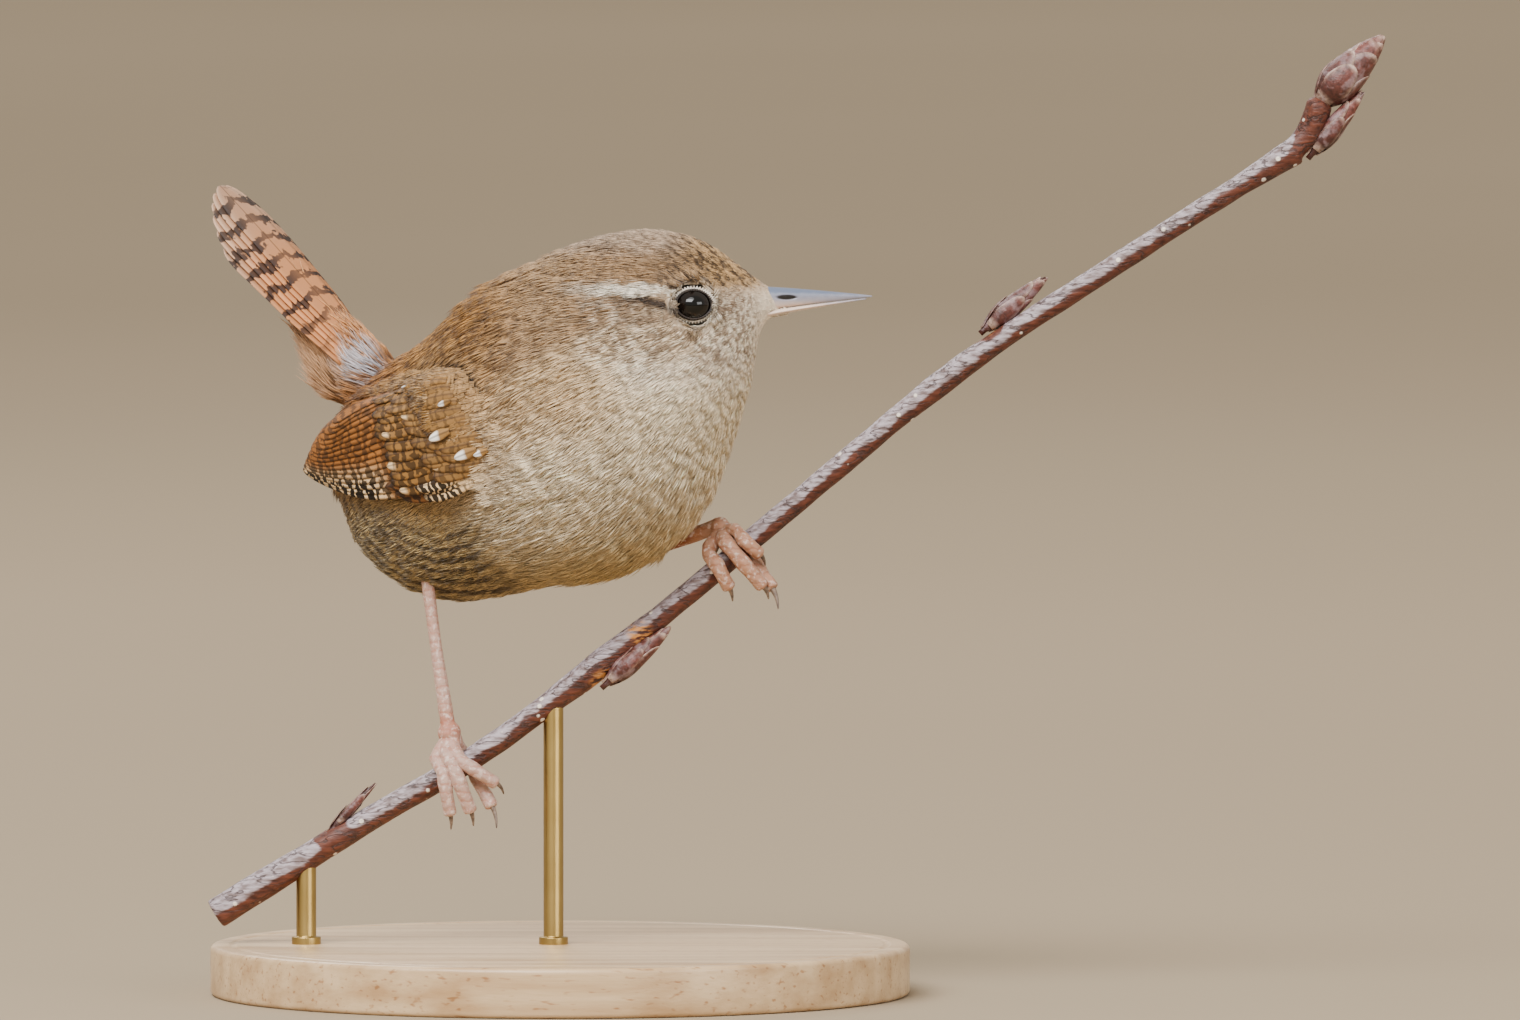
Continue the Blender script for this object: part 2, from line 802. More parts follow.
@dataclass(frozen=True)
class BirdFrame:
    """Where the body sits and how it is turned, and the body's and tail's directions."""

    yaw: float = math.radians(28)
    centre: tuple[float, float, float] = (-5.2, 5.0, 65.9)
    bill_base: tuple[float, float, float] = (25.4, -2.5, 83.6)
    head_y: float = -2.5
    tail_forward: float = -19.0
    tail_up: float = 8.3
    tail_cock: float = math.radians(46.5)
    tail_roll: float = math.radians(-13)

    @property
    def forward(self) -> Array:
        """The way the breast faces."""
        return np.array([math.cos(self.yaw), -math.sin(self.yaw), 0])

    @property
    def left(self) -> Array:
        """The body's left."""
        return np.array([math.sin(self.yaw), math.cos(self.yaw), 0])

    @property
    def up(self) -> Array:
        """Straight up."""
        return np.array([0.0, 0, 1])

    def place(self, forward: float, left: float, up: float) -> Array:
        """Gives a point from its distances from the body's centre."""
        return np.array(self.centre) + forward * self.forward + left * self.left + up * self.up

    def local(self, points: Array) -> Array:
        """Gives points as forward, left and up from the body's centre."""
        away = points - np.array(self.centre)
        return np.stack([away @ self.forward, away @ self.left, away[:, 2]], 1)

    @property
    def tail_root(self) -> Array:
        """Where the tail leaves the rump."""
        return self.place(self.tail_forward, 0, self.tail_up)

    @property
    def tail_axes(self) -> tuple[Array, Array, Array]:
        """The tail's length, its width and its upper side.

        Returns:
            Three directions of length one.
        """
        axis = -math.cos(self.tail_cock) * self.forward + math.sin(self.tail_cock) * self.up
        top = math.sin(self.tail_cock) * self.forward + math.cos(self.tail_cock) * self.up
        side = np.cross(top, axis)
        rolled = top * math.cos(self.tail_roll) + np.cross(axis, top) * math.sin(self.tail_roll)
        return axis, unit(np.cross(rolled, axis)), rolled

    def on_tail(self, along: float, across: float, lift: float) -> Array:
        """Gives a point from its distances along, across and over the tail."""
        axis, side, top = self.tail_axes
        return self.tail_root + along * axis + across * side + lift * top


BIRD = BirdFrame()


def eye_centre(side: str) -> Array:
    """Gives the middle of a CAD eye, in millimetres."""
    low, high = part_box(f"eye_{side}")
    return np.array((low + high) / 2) / MM


# Markings


@dataclass(frozen=True)
class Markings:
    """The wren's ground colours and marks by place, which skin and coat share."""

    crown: int = 0xA68868
    gold: int = 0xC8A472
    crown_top: int = 0xB5A08C
    nape: int = 0xAD9070
    mantle: int = 0xAC8150
    rump: int = 0xA8774D
    throat: int = 0xEEDFCA
    cheek: int = 0xD2BB9C
    breast: int = 0xECDCC0
    side: int = 0xD3B389
    belly: int = 0xB89E68
    flank: int = 0xAC9265
    vent: int = 0xB5A17A
    brow: int = 0xFBF3E4
    stripe: int = 0x5B4633
    smudge: int = 0x7C6550
    covert: int = 0x96703F
    lapping: int = 0xBC9A70
    richness: float = 1.12
    covert_patch: tuple[float, float, float, float] = (-17.2, 68.2, 8.6, 6.6)
    spots: tuple[tuple[float, float, float], ...] = (
        (-17.3, 72.6, 0.6), (-13.9, 67.4, 0.75), (-11.4, 65.5, 0.75), (-9.7, 65.9, 0.5), (-13.0, 70.8, 0.45))
    dark: int = 0x2E1F15
    down: int = 0xC9CEDA
    tail_base: int = 0xD39A6A
    under_tail: int = 0xC09672
    back_line: tuple[tuple[float, float], ...] = (
        (-30, 57), (-20, 61), (-12, 67), (-7, 74), (4.8, 81.2), (14, 84.9), (25, 84.9))
    brow_line: tuple[tuple[float, float, float], ...] = (
        (0, 85.2, 0.6), (3, 85.2, 0.75), (5.7, 85.2, 0.75), (10.2, 85.1, 0.6), (13.8, 84.95, 0.42),
        (15.5, 84.9, 0.1))
    stripe_line: tuple[tuple[float, float], ...] = (
        (4, 84.1), (6.5, 84.3), (8.7, 84.2), (11.1, 83.6), (13.2, 82.8), (14.6, 82.4))
    flank_centre: tuple[float, float] = (-15.6, 60.6)
    flank_period: float = 1.35
    streak_centre: tuple[float, float] = (19.0, 86.0)
    streak_slope: tuple[float, float] = (0.66, 0.75)
    streak_period: float = 0.95

    def side_x(self, points: Array) -> Array:
        """Gives each point's place along the bird as its right side shows it, the same for both sides.

        Args:
            points: places in millimetres.

        Returns:
            One value for each place.
        """
        local = BIRD.local(points)
        head = smooth(-1.5, 2.5, (points - np.array([6.5, -1.5, 75.5])) @ np.array([0.45, -0.1, 0.89]))
        return (-12.2 + 0.883 * local[:, 0]) * (1 - head) + points[:, 0] * head

    def colour(self, points: Array, jitter: Array, chance: Array) -> Array:
        """Gives the linear colour of the plumage at each point.

        Args:
            points: places on the body, in millimetres.
            jitter: a normal random value for each point, the same over one feather.
            chance: a random value from 0 to 1 for each point, the same over one feather.

        Returns:
            One linear colour for each point.
        """
        x = self.side_x(points)
        z = points[:, 2] + 0.22 * jitter

        back = blend(self.mantle, self.nape, smooth(-14, -2, x))
        back = blend(back, self.crown, smooth(-2, 6, x))
        back = blend(back, self.crown_top, smooth(88.3, 90.6, z) * smooth(18, 12, x) * 0.8)
        back = blend(back, self.rump, smooth(-20, -26, x))

        under = blend(self.belly, self.breast, smooth(49, 59, z - 0.25 * (x - 2)))
        under = blend(under, self.side, 0.75 * smooth(64, 72, z) * smooth(10, 0, x))
        under = blend(under, self.flank, smooth(-7, -15, x + 0.25 * (z - 55)))
        under = blend(under, self.vent, smooth(-20, -26, x))
        under = blend(under, self.throat, smooth(70, 76, z) * smooth(4, 10, x))
        under = blend(under, self.cheek, smooth(75, 79, z) * smooth(19, 15, x) * 0.8)

        line = np.interp(x, *np.array(self.back_line).T)
        result = blend(under, back, smooth(-2.4, 1.8, z - line))
        result = self.face(result, points, x, z, jitter, chance)

        ring = np.hypot(x - self.flank_centre[0], z - self.flank_centre[1])
        bars = smooth(-0.1, 0.55, np.sin(2 * np.pi * ring / self.flank_period + 0.3 * jitter))
        barred = smooth(-8, -13, x) * smooth(62, 60, z) * smooth(3.5, 6.5, ring)
        result = blend(result, self.vent, 0.6 * barred)
        result = blend(result, self.dark, 0.85 * barred * bars)
        speckle = smooth(-2, -8, x) * smooth(66, 60, z) * (chance < 0.3) * 0.3 * (1 - barred)
        result = blend(result, self.dark, speckle)
        back_bars = smooth(0, 0.6, np.sin(2 * np.pi * x / 1.5 + 0.6 * jitter))
        result = blend(result, self.dark, smooth(-4, -12, x) * smooth(-1, 2, z - line) * back_bars * 0.45)
        result = self.wing_coverts(result, points, x, z, chance)
        result = self.tail_root(result, points, chance)
        grey = result.mean(1, keepdims=True)
        return np.clip(grey + (result - grey) * self.richness, 0.004, 1)

    def face(self, result: Array, points: Array, x: Array, z: Array, jitter: Array, chance: Array) -> Array:
        """Adds the brow, the dark line behind the eye, the streaked forehead and the mottled cheek.

        Args:
            result: the colours so far.
            points: places in millimetres.
            x: places along the bird.
            z: heights in millimetres.
            jitter: a normal random value for each point.
            chance: a random value from 0 to 1 for each point.

        Returns:
            One linear colour for each place.
        """
        cheek = smooth(74, 77, z) * smooth(84.6, 83.6, z) * smooth(0, 4, x) * smooth(25, 22, x)
        result = blend(result, self.smudge, cheek * (chance < 0.38) * 0.7)
        result = blend(result, self.brow, cheek * (chance > 0.74) * 0.3)
        aside = smooth(2.5, 5, np.abs(points[:, 1] - BIRD.head_y) + 3 * smooth(19, 23, x))
        behind = smooth(84.4, 83.6, z) * smooth(80.2, 81.6, z)
        behind *= smooth(5, 8, x) * smooth(15.5, 13.5, x) * aside
        result = blend(result, self.smudge, behind * 0.55)
        stripe = np.interp(x, *np.array(self.stripe_line).T)
        on_stripe = smooth(0.7, 0.2, np.abs(z - stripe)) * smooth(3.5, 9.5, x) * smooth(15.4, 14.6, x) * aside
        result = blend(result, self.dark, on_stripe * 0.95)

        brow = np.array(self.brow_line)
        middle, half = np.interp(x, brow[:, 0], brow[:, 1]), np.interp(x, brow[:, 0], brow[:, 2])
        on_brow = smooth(0.4, -0.35, np.abs(z - middle) - half)
        on_brow *= smooth(-1.5, 6, x) * smooth(16, 14.5, x) * aside
        result = blend(result, self.brow, on_brow * np.where(chance < 0.12, 0.35, 0.85))
        over_eye = smooth(85.1, 85.8, z) * smooth(87.2, 86.4, z)
        over_eye *= smooth(11, 14, x) * smooth(21, 19, x) * aside
        result = blend(result, self.crown, over_eye * 0.7)

        lid = np.minimum(*[np.linalg.norm(points - eye_centre(s), axis=1) for s in ("right", "left")])
        result = blend(result, self.brow, smooth(3.6, 3.0, lid) * 0.5)

        lore = smooth(85.0, 84.2, z) * smooth(81.2, 82.4, z)
        lore *= smooth(18.0, 19.2, x) * smooth(24.0, 22.0, x) * aside
        result = blend(result, self.smudge, lore * np.where(chance < 0.6, 0.6, 0.2))
        reach = np.hypot(x - self.streak_centre[0], z - self.streak_centre[1])
        across = x * self.streak_slope[0] + z * self.streak_slope[1]
        rays = smooth(-0.1, 0.4, np.sin(2 * np.pi * across / self.streak_period + 0.3 * jitter))
        forehead = smooth(84.9, 85.8, z) * smooth(9.5, 6.0, reach) * smooth(24.8, 23.5, x)
        result = blend(result, self.gold, forehead * smooth(12, 19, x) * 0.45)
        result = blend(result, self.dark, forehead * rays * 0.85)
        crown_flecks = smooth(85.6, 86.8, z) * smooth(12, 6, x) * smooth(-2, 3, x) * (chance < 0.25)
        return blend(result, self.stripe, crown_flecks * 0.4)

    def wing_coverts(self, result: Array, points: Array, x: Array, z: Array, chance: Array) -> Array:
        """Adds the mottled brown of the small wing coverts, with a softer brown round them.

        Args:
            result: the colours so far.
            points: places in millimetres.
            x: places along the bird, as side_x gives them.
            z: heights in millimetres.
            chance: a random value from 0 to 1 for each point.

        Returns:
            One linear colour for each place.
        """
        middle_x, middle_z, wide, high = self.covert_patch
        reach = np.hypot((x - middle_x) / wide, (z - middle_z) / high)
        outside = smooth(9, 12, np.abs(BIRD.local(points)[:, 1]))
        patch = smooth(1.15, 0.55, reach) * outside
        round_it = smooth(2.0, 0.95, reach) * outside
        result = blend(result, self.lapping, round_it * 0.75)
        result = blend(result, self.covert, patch)
        result = blend(result, self.dark, patch * (chance < 0.26) * 0.6)
        return blend(result, self.side, patch * (chance > 0.8) * 0.6)

    def tail_root(self, result: Array, points: Array, chance: Array) -> Array:
        """Colours the coverts round the root of the tail and the blue-grey down beside it.

        Args:
            result: the colours so far.
            points: places in millimetres.
            chance: a random value from 0 to 1 for each point.

        Returns:
            One linear colour for each place.
        """
        axis, _, top = BIRD.tail_axes
        along = (points - BIRD.tail_root) @ axis
        over = (points - BIRD.tail_root) @ top
        covert = blend(self.under_tail, self.tail_base, smooth(-2.5, 1.0, over))
        result = blend(result, covert, smooth(0.5, 3, along))
        reach = np.linalg.norm(points - BIRD.on_tail(2.8, 4.0, 2.0), axis=1)
        near = smooth(5.2, 2.6, reach)
        return blend(result, self.down, near * np.where(chance < 0.7, 0.75, 0.15))


MARKINGS = Markings()


# Skin and coat


@dataclass
class Skin:
    """The one soft skin under the feathers, inside the CAD flesh by the coat's depth."""

    voxel: float = 0.6
    passes: int = 8
    cut: float = 0.2
    lengths: tuple[tuple[float, float], ...] = (
        (0, 0.55), (3, 0.8), (6, 1.15), (10, 1.5), (16, 2.1), (24, 3.0), (36, 3.7), (60, 4.0))
    barred_length: float = 2.5
    depth_share: float = 0.24
    stub: tuple[tuple[float, float, float, float], ...] = (
        (-3.0, 4.6, 4.4, -1.3), (0.2, 4.6, 5.3, -2.2), (2.5, 4.3, 5.4, -2.7), (6, 3.7, 4.5, -2.8),
        (10, 2.8, 3.1, -2.5), (13.5, 1.5, 1.5, -2.1))
    face: tuple[tuple[float, float], ...] = (
        (17.5, 5.4), (21, 4.1), (23.5, 3.1), (25.3, 2.45), (26.6, 1.85), (27.1, 1.4))
    face_height: float = 83.2
    seed: int = 5
    piece: bpy.types.Object | None = None

    def feather_length(self, points: Array) -> Array:
        """Gives how long the body feathers show at each point.

        Args:
            points: places in millimetres.

        Returns:
            Lengths in millimetres.
        """
        reach = np.linalg.norm(points - np.array(BIRD.bill_base), axis=1)
        length = np.interp(reach, *np.array(self.lengths).T)
        barred = smooth(-6, -12, MARKINGS.side_x(points)) * smooth(64, 60, points[:, 2])
        return length * (1 - barred) + self.barred_length * barred

    def tail_stub(self) -> bpy.types.Object:
        """Makes the fleshy root of the tail, which the coverts grow from.

        Returns:
            The new object.
        """
        rings = []
        for along, wide, high, low in self.stub:
            turn = np.linspace(0, 2 * np.pi, 24, endpoint=False)
            rings.append([BIRD.on_tail(along, wide * math.cos(t), high * math.sin(t) + low) for t in turn])
        points, faces = loft(np.array(rings))
        return mesh_piece("tail_stub", points, faces)

    def face_cone(self) -> bpy.types.Object:
        """Makes the short cone of flesh that runs out round the root of the bill.

        Returns:
            The new object.
        """
        turn = np.linspace(0, 2 * np.pi, 24, endpoint=False)
        rings = [[(x, BIRD.head_y - 0.85 * r * math.cos(t), self.face_height + r * math.sin(t)) for t in turn]
                 for x, r in self.face]
        points, faces = loft(np.array(rings))
        return mesh_piece("face_cone", points, faces)

    def build(self) -> bpy.types.Object:
        """Makes the skin from the CAD flesh, draws it inwards and colours it.

        Returns:
            The finished piece.
        """
        additions = [self.tail_stub(), self.face_cone()]
        piece = node_copy("head", "neck", "torso")
        activate(piece)
        for addition in additions:
            addition.select_set(True)
        bpy.ops.object.join()
        soften(piece, self.voxel, self.passes, self.cut)
        points = mesh_points(piece)
        depth = self.cut + self.depth_share * self.feather_length(points)
        move_points(piece, points - mesh_normals(piece) * depth[:, None])
        settle(piece, "skin")
        rng, count = np.random.default_rng(self.seed), len(points)
        colours = MARKINGS.colour(mesh_points(piece), rng.normal(0, 1, count), rng.random(count))
        point_colours(piece, "Plumage", colours * 0.95)
        corner_map(piece, "OFBake", unwrap(mesh_points(piece)))
        self.piece = piece
        finish_piece(piece, Plumage().make("down_covered_skin"))
        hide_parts("head", "neck", "torso")
        return piece


def unwrap(points: Array) -> Array:
    """Unrolls the egg-shaped body round its own long axis, so that no two places share one on the map.

    Args:
        points: places in millimetres.

    Returns:
        One pair of map values for each place.
    """
    core = np.array([2.0, 1.5, 71.0])
    axis = unit(np.array([0.87, -0.1, 0.48]))
    side = unit(np.cross(axis, [0, 0, 1.0]))
    over = np.cross(side, axis)
    away = unit(points - core)
    around = np.arctan2(away @ side, away @ over) / (2 * np.pi) + 0.5
    down = np.arccos(np.clip(away @ axis, -1, 1)) / np.pi
    return np.stack([0.01 + 0.98 * around, 0.01 + 0.98 * down], 1)


class Region(Enum):
    """The parts of the body that each carry one piece of the coat."""

    FACE = "coat_face"
    CROWN = "coat_crown"
    CHEEKS = "coat_cheeks"
    THROAT = "coat_throat"
    NECK = "coat_neck"
    BREAST = "coat_breast"
    FLANKS = "coat_flanks"
    BACK = "coat_back"
    SHOULDERS = "coat_shoulders"


@dataclass
class Coat:
    """Body feathers as fans of thin, tapered, closed barbs that lie back along the body."""

    skin: Skin
    feathers: int = 12300
    barbs: int = 10
    fan: float = 0.2
    spread: float = 0.15
    lift: float = 0.18
    middle: float = 0.58
    shoulder_feathers: int = 900
    shoulder_size: float = 0.55
    chin_feathers: int = 110
    wing_edge: tuple[tuple[float, float], ...] = (
        (-6, -7.4), (-3, -6.8), (0, -4.4), (3, -1.8), (6, 0.6), (8, 3.0), (9.5, 9.0), (10.5, 12.0))
    seed: int = 12
    eye_clear: float = 2.3
    patch: float = 0.003
    piece_limit: int = 190_000

    def roots(self, rng: np.random.Generator) -> tuple[Array, Array]:
        """Scatters feather roots over the skin, closer where feathers are small.

        Args:
            rng: the seeded source of places.

        Returns:
            The roots and the skin's normals there.
        """
        mesh = self.skin.piece.data
        mesh.calc_loop_triangles()
        corners = np.empty(len(mesh.loop_triangles) * 3, np.int32)
        mesh.loop_triangles.foreach_get("vertices", corners)
        corners = corners.reshape(-1, 3)
        points, normals = mesh_points(self.skin.piece), mesh_normals(self.skin.piece)
        a, b, c = (points[corners[:, i]] for i in range(3))
        area = np.linalg.norm(np.cross(b - a, c - a), axis=1) / 2
        length = self.skin.feather_length((a + b + c) / 3)
        share = area / (length * self.width(length))
        chosen = rng.choice(len(corners), int(self.feathers * 1.35), p=share / share.sum())
        u, v = rng.random(len(chosen)), rng.random(len(chosen))
        flip = u + v > 1
        u[flip], v[flip] = 1 - u[flip], 1 - v[flip]
        weights = np.stack([1 - u - v, u, v], 1)[:, :, None]
        where = (points[corners[chosen]] * weights).sum(1)
        facing = unit((normals[corners[chosen]] * weights).sum(1))
        keep = ~self.covered(where)
        return where[keep][:self.feathers], facing[keep][:self.feathers]

    def covered(self, points: Array) -> Array:
        """Tells which places lie under a folded wing, in an eye socket or under the bill.

        Args:
            points: places in millimetres.

        Returns:
            Whether each place is covered.
        """
        local = BIRD.local(points)
        back, rise = WING_BED.forward - local[:, 0], local[:, 2] - WING_BED.up
        along = back * math.cos(WING_BED.droop) - rise * math.sin(WING_BED.droop)
        across = rise * math.cos(WING_BED.droop) + back * math.sin(WING_BED.droop)
        under_wing = ((along - 3.0) / 11.5) ** 2 + ((across - 1.9) / 6.6) ** 2 < 1
        under_wing &= np.abs(local[:, 1]) > 6
        eyes = np.minimum(*[np.linalg.norm(points - eye_centre(side), axis=1) for side in ("right", "left")])
        bill = np.linalg.norm((points - np.array(BIRD.bill_base))[:, 1:], axis=1) < 1.3
        bill &= points[:, 0] > BIRD.bill_base[0] - 1
        return under_wing | (eyes < self.eye_clear) | bill

    def width(self, length: Array) -> Array:
        """Gives how wide a barb is, from how long its feather shows."""
        return np.interp(length, [0.5, 1.5, 4.0], [0.10, 0.14, 0.205])

    def lie(self, points: Array, normals: Array) -> Array:
        """Gives the way the feathers lie: back from the bill, round the eyes and out along the tail.

        Args:
            points: places in millimetres.
            normals: the skin's directions there.

        Returns:
            Directions of length one.
        """
        flow = unit(points - np.array(BIRD.bill_base) - np.array([2.0, 0, 0.5]))
        for side in ("right", "left"):
            away = points - eye_centre(side)
            near = smooth(5.0, 2.6, np.linalg.norm(away, axis=1))
            flow = flow + 1.1 * near[:, None] * unit(away)
        axis, _, _ = BIRD.tail_axes
        on_tail = smooth(-3.0, 2.0, (points - BIRD.tail_root) @ axis)
        near_tail = smooth(11, 6, np.linalg.norm(points - BIRD.tail_root, axis=1))
        tailward = np.maximum(on_tail, 0.6 * near_tail)[:, None]
        flow = flow * (1 - tailward) + axis * tailward
        flow = flow - normals * (flow * normals).sum(1, keepdims=True)
        return unit(flow)

    def region(self, points: Array) -> Array:
        """Sorts places into the coat's pieces, as numbers in the order of Region.

        Args:
            points: places in millimetres.

        Returns:
            One number for each place.
        """
        x = MARKINGS.side_x(points)
        z = points[:, 2]
        line = np.interp(x, *np.array(MARKINGS.back_line).T)
        choice = np.full(len(points), 5)
        choice[x < -6] = 6
        choice[(x < -2) & (z > line)] = 7
        choice[(z > 70) & (x >= -2)] = 4
        choice[(z > 68) & (x > 8)] = 3
        choice[(z > 76) & (x > 2)] = 2
        choice[(z > line + 1) & (x > -2)] = 1
        choice[(x > 18) & (z > 76)] = 0
        return choice

    def shoulders(self, rng: np.random.Generator) -> tuple[Array, Array, Array]:
        """Roots the soft scapular and side feathers that lap over the front and the top of each folded wing.

        Args:
            rng: the seeded source of places.

        Returns:
            Roots, normals and the way the feathers lie.
        """
        roots, normals, lies = [], [], []
        for side in (-1, 1):
            for _ in range(self.shoulder_feathers):
                across = rng.uniform(-6, 11)
                along = np.interp(across, *np.array(self.wing_edge).T) - rng.uniform(1.6, 10.0)
                point, outward = WING_BED.point(side, along, across)
                onward, _ = WING_BED.point(side, along + 0.6, across - 0.06)
                over = WING_BED.raised(along, across, 2.25) + rng.uniform(-0.15, 0.15)
                roots.append(point + outward * over)
                normals.append(outward)
                lies.append(unit(onward - point + rng.uniform(0.0, 0.12) * outward))
        return np.array(roots), np.array(normals), np.array(lies)

    def chin(self, rng: np.random.Generator) -> tuple[Array, Array, Array]:
        """Roots the small bristly feathers that run forward under the lower half of the bill.

        Args:
            rng: the seeded source of places.

        Returns:
            Roots, normals and the way the feathers lie.
        """
        t = rng.uniform(0, 1, self.chin_feathers)
        turn = rng.uniform(-1.3, 1.3, len(t))
        radius = 1.25 - 0.35 * t
        roots = np.stack([23.6 + 3.4 * t, BIRD.head_y + radius * np.sin(turn),
                          82.5 + 0.35 * t - radius * np.cos(turn)], 1)
        normals = np.stack([np.zeros(len(t)), np.sin(turn), -np.cos(turn)], 1)
        lies = unit(np.stack([np.ones(len(t)), 0.2 * np.sin(turn), -0.15 - 0.2 * rng.random(len(t))], 1))
        return roots, normals, lies

    def build(self, material: bpy.types.Material) -> list[bpy.types.Object]:
        """Grows the whole coat and splits it into its pieces.

        Args:
            material: the plumage finish.

        Returns:
            The coat's pieces.
        """
        rng = np.random.default_rng(self.seed)
        roots, normals = self.roots(rng)
        lie, region = self.lie(roots, normals), self.region(roots)
        for number, extra in ((len(Region) - 1, self.shoulders(rng)), (0, self.chin(rng))):
            roots, normals, lie = (np.vstack([had, more]) for had, more in zip((roots, normals, lie), extra))
            region = np.concatenate([region, np.full(len(extra[0]), number)])
        count = len(roots)
        length = self.skin.feather_length(roots) * rng.uniform(0.8, 1.15, count)
        length[region == len(Region) - 1] *= self.shoulder_size
        tail_along = (roots - BIRD.tail_root) @ BIRD.tail_axes[0]
        length *= 1 + 0.5 * smooth(0, 3, tail_along)
        aside = np.cross(normals, lie)
        turn = rng.normal(0, 0.08, count)
        lie, aside = (lie * np.cos(turn)[:, None] + aside * np.sin(turn)[:, None],
                      aside * np.cos(turn)[:, None] - lie * np.sin(turn)[:, None])

        def each(values: Array) -> Array:
            """Repeats each feather's value for its barbs."""
            return np.repeat(values, self.barbs, axis=0)

        place = np.tile(np.linspace(-1, 1, self.barbs), count) + rng.normal(0, 0.12, count * self.barbs)
        size = each(length) * (1 - 0.28 * place ** 2) * rng.uniform(0.85, 1.1, len(place))
        angle = place * self.fan + rng.normal(0, 0.05, len(place))
        out, side, up = each(lie), each(aside), each(normals)
        heading = out * np.cos(angle)[:, None] + side * np.sin(angle)[:, None]
        across = side * np.cos(angle)[:, None] - out * np.sin(angle)[:, None]
        start = each(roots) - 0.12 * up + side * (place * self.spread * each(length))[:, None]
        rise = (self.lift + rng.normal(0, 0.04, len(place)))[:, None]
        middle = start + (heading + up * rise * 1.2) * (self.middle * size)[:, None]
        tip = start + (heading + up * rise * 0.85) * size[:, None]
        wide = self.width(each(length))
        points = np.empty((len(place), 7, 3))
        for k, (w, h) in enumerate(((-0.5, 0.0), (0.5, 0.0), (0.0, 0.45))):
            off = across * (w * wide)[:, None] + up * (h * wide)[:, None]
            points[:, k] = start + off
            points[:, 3 + k] = middle + off
        points[:, 6] = tip
        pattern = [(0, 2, 1)]
        for k in range(3):
            j = (k + 1) % 3
            pattern += [(k, j, 3 + j), (k, 3 + j, 3 + k), (3 + k, 3 + j, 6)]
        pattern = np.array(pattern)
        tint = self.tints(middle, tip, each(rng.normal(0, 1, count)), each(rng.random(count)),
                          each(rng.normal(1, 0.04, count)) * rng.normal(1, 0.12, len(place)))
        base_map = each(unwrap(roots))
        flat = np.empty((len(place), 7, 2))
        flat[:, :, 0] = (base_map[:, 0] + np.clip(place, -1, 1) * self.patch / 2)[:, None]
        flat[:, :, 1] = base_map[:, 1][:, None]
        flat[:, [1, 4], 0] += self.patch / 10
        flat[:, 3:6, 1] += self.patch / 2
        flat[:, 6, 1] += self.patch
        barb_region = each(region)
        pieces = []
        for number, name in enumerate(Region):
            picked = np.flatnonzero(barb_region == number)
            parts = max(1, math.ceil(len(picked) * len(pattern) / self.piece_limit))
            for part, chosen in enumerate(np.array_split(picked, parts)):
                label = name.value if parts == 1 else f"{name.value}_{part + 1}"
                faces = (pattern[None] + (np.arange(len(chosen)) * 7)[:, None, None]).reshape(-1, 3)
                piece = mesh_piece(label, points[chosen].reshape(-1, 3), faces)
                point_colours(piece, "Plumage", tint[chosen].reshape(-1, 3))
                corner_map(piece, "OFBake", flat[chosen].reshape(-1, 2))
                pieces.append(finish_piece(piece, material))
        return pieces

    def tints(self, middle: Array, tip: Array, jitter: Array, chance: Array, tone: Array) -> Array:
        """Gives the colour of each barb's seven points: dim at the root, and marked where it shows.

        Args:
            middle: the barbs' middles.
            tip: the barbs' tips.
            jitter: a normal random value for each barb, the same over one feather.
            chance: a random value from 0 to 1 for each barb, the same over one feather.
            tone: how light each barb is.

        Returns:
            Colours as barbs by seven points by three.
        """
        at_middle = MARKINGS.colour(middle, jitter, chance) * tone[:, None]
        at_tip = MARKINGS.colour(tip, jitter, chance) * tone[:, None]
        tint = np.empty((len(middle), 7, 3))
        tint[:, :3] = (at_middle * 0.84)[:, None]
        tint[:, 3:6] = at_middle[:, None]
        tint[:, 6] = at_tip * 1.08
        return np.clip(tint, 0, 1)


# Wings and tail


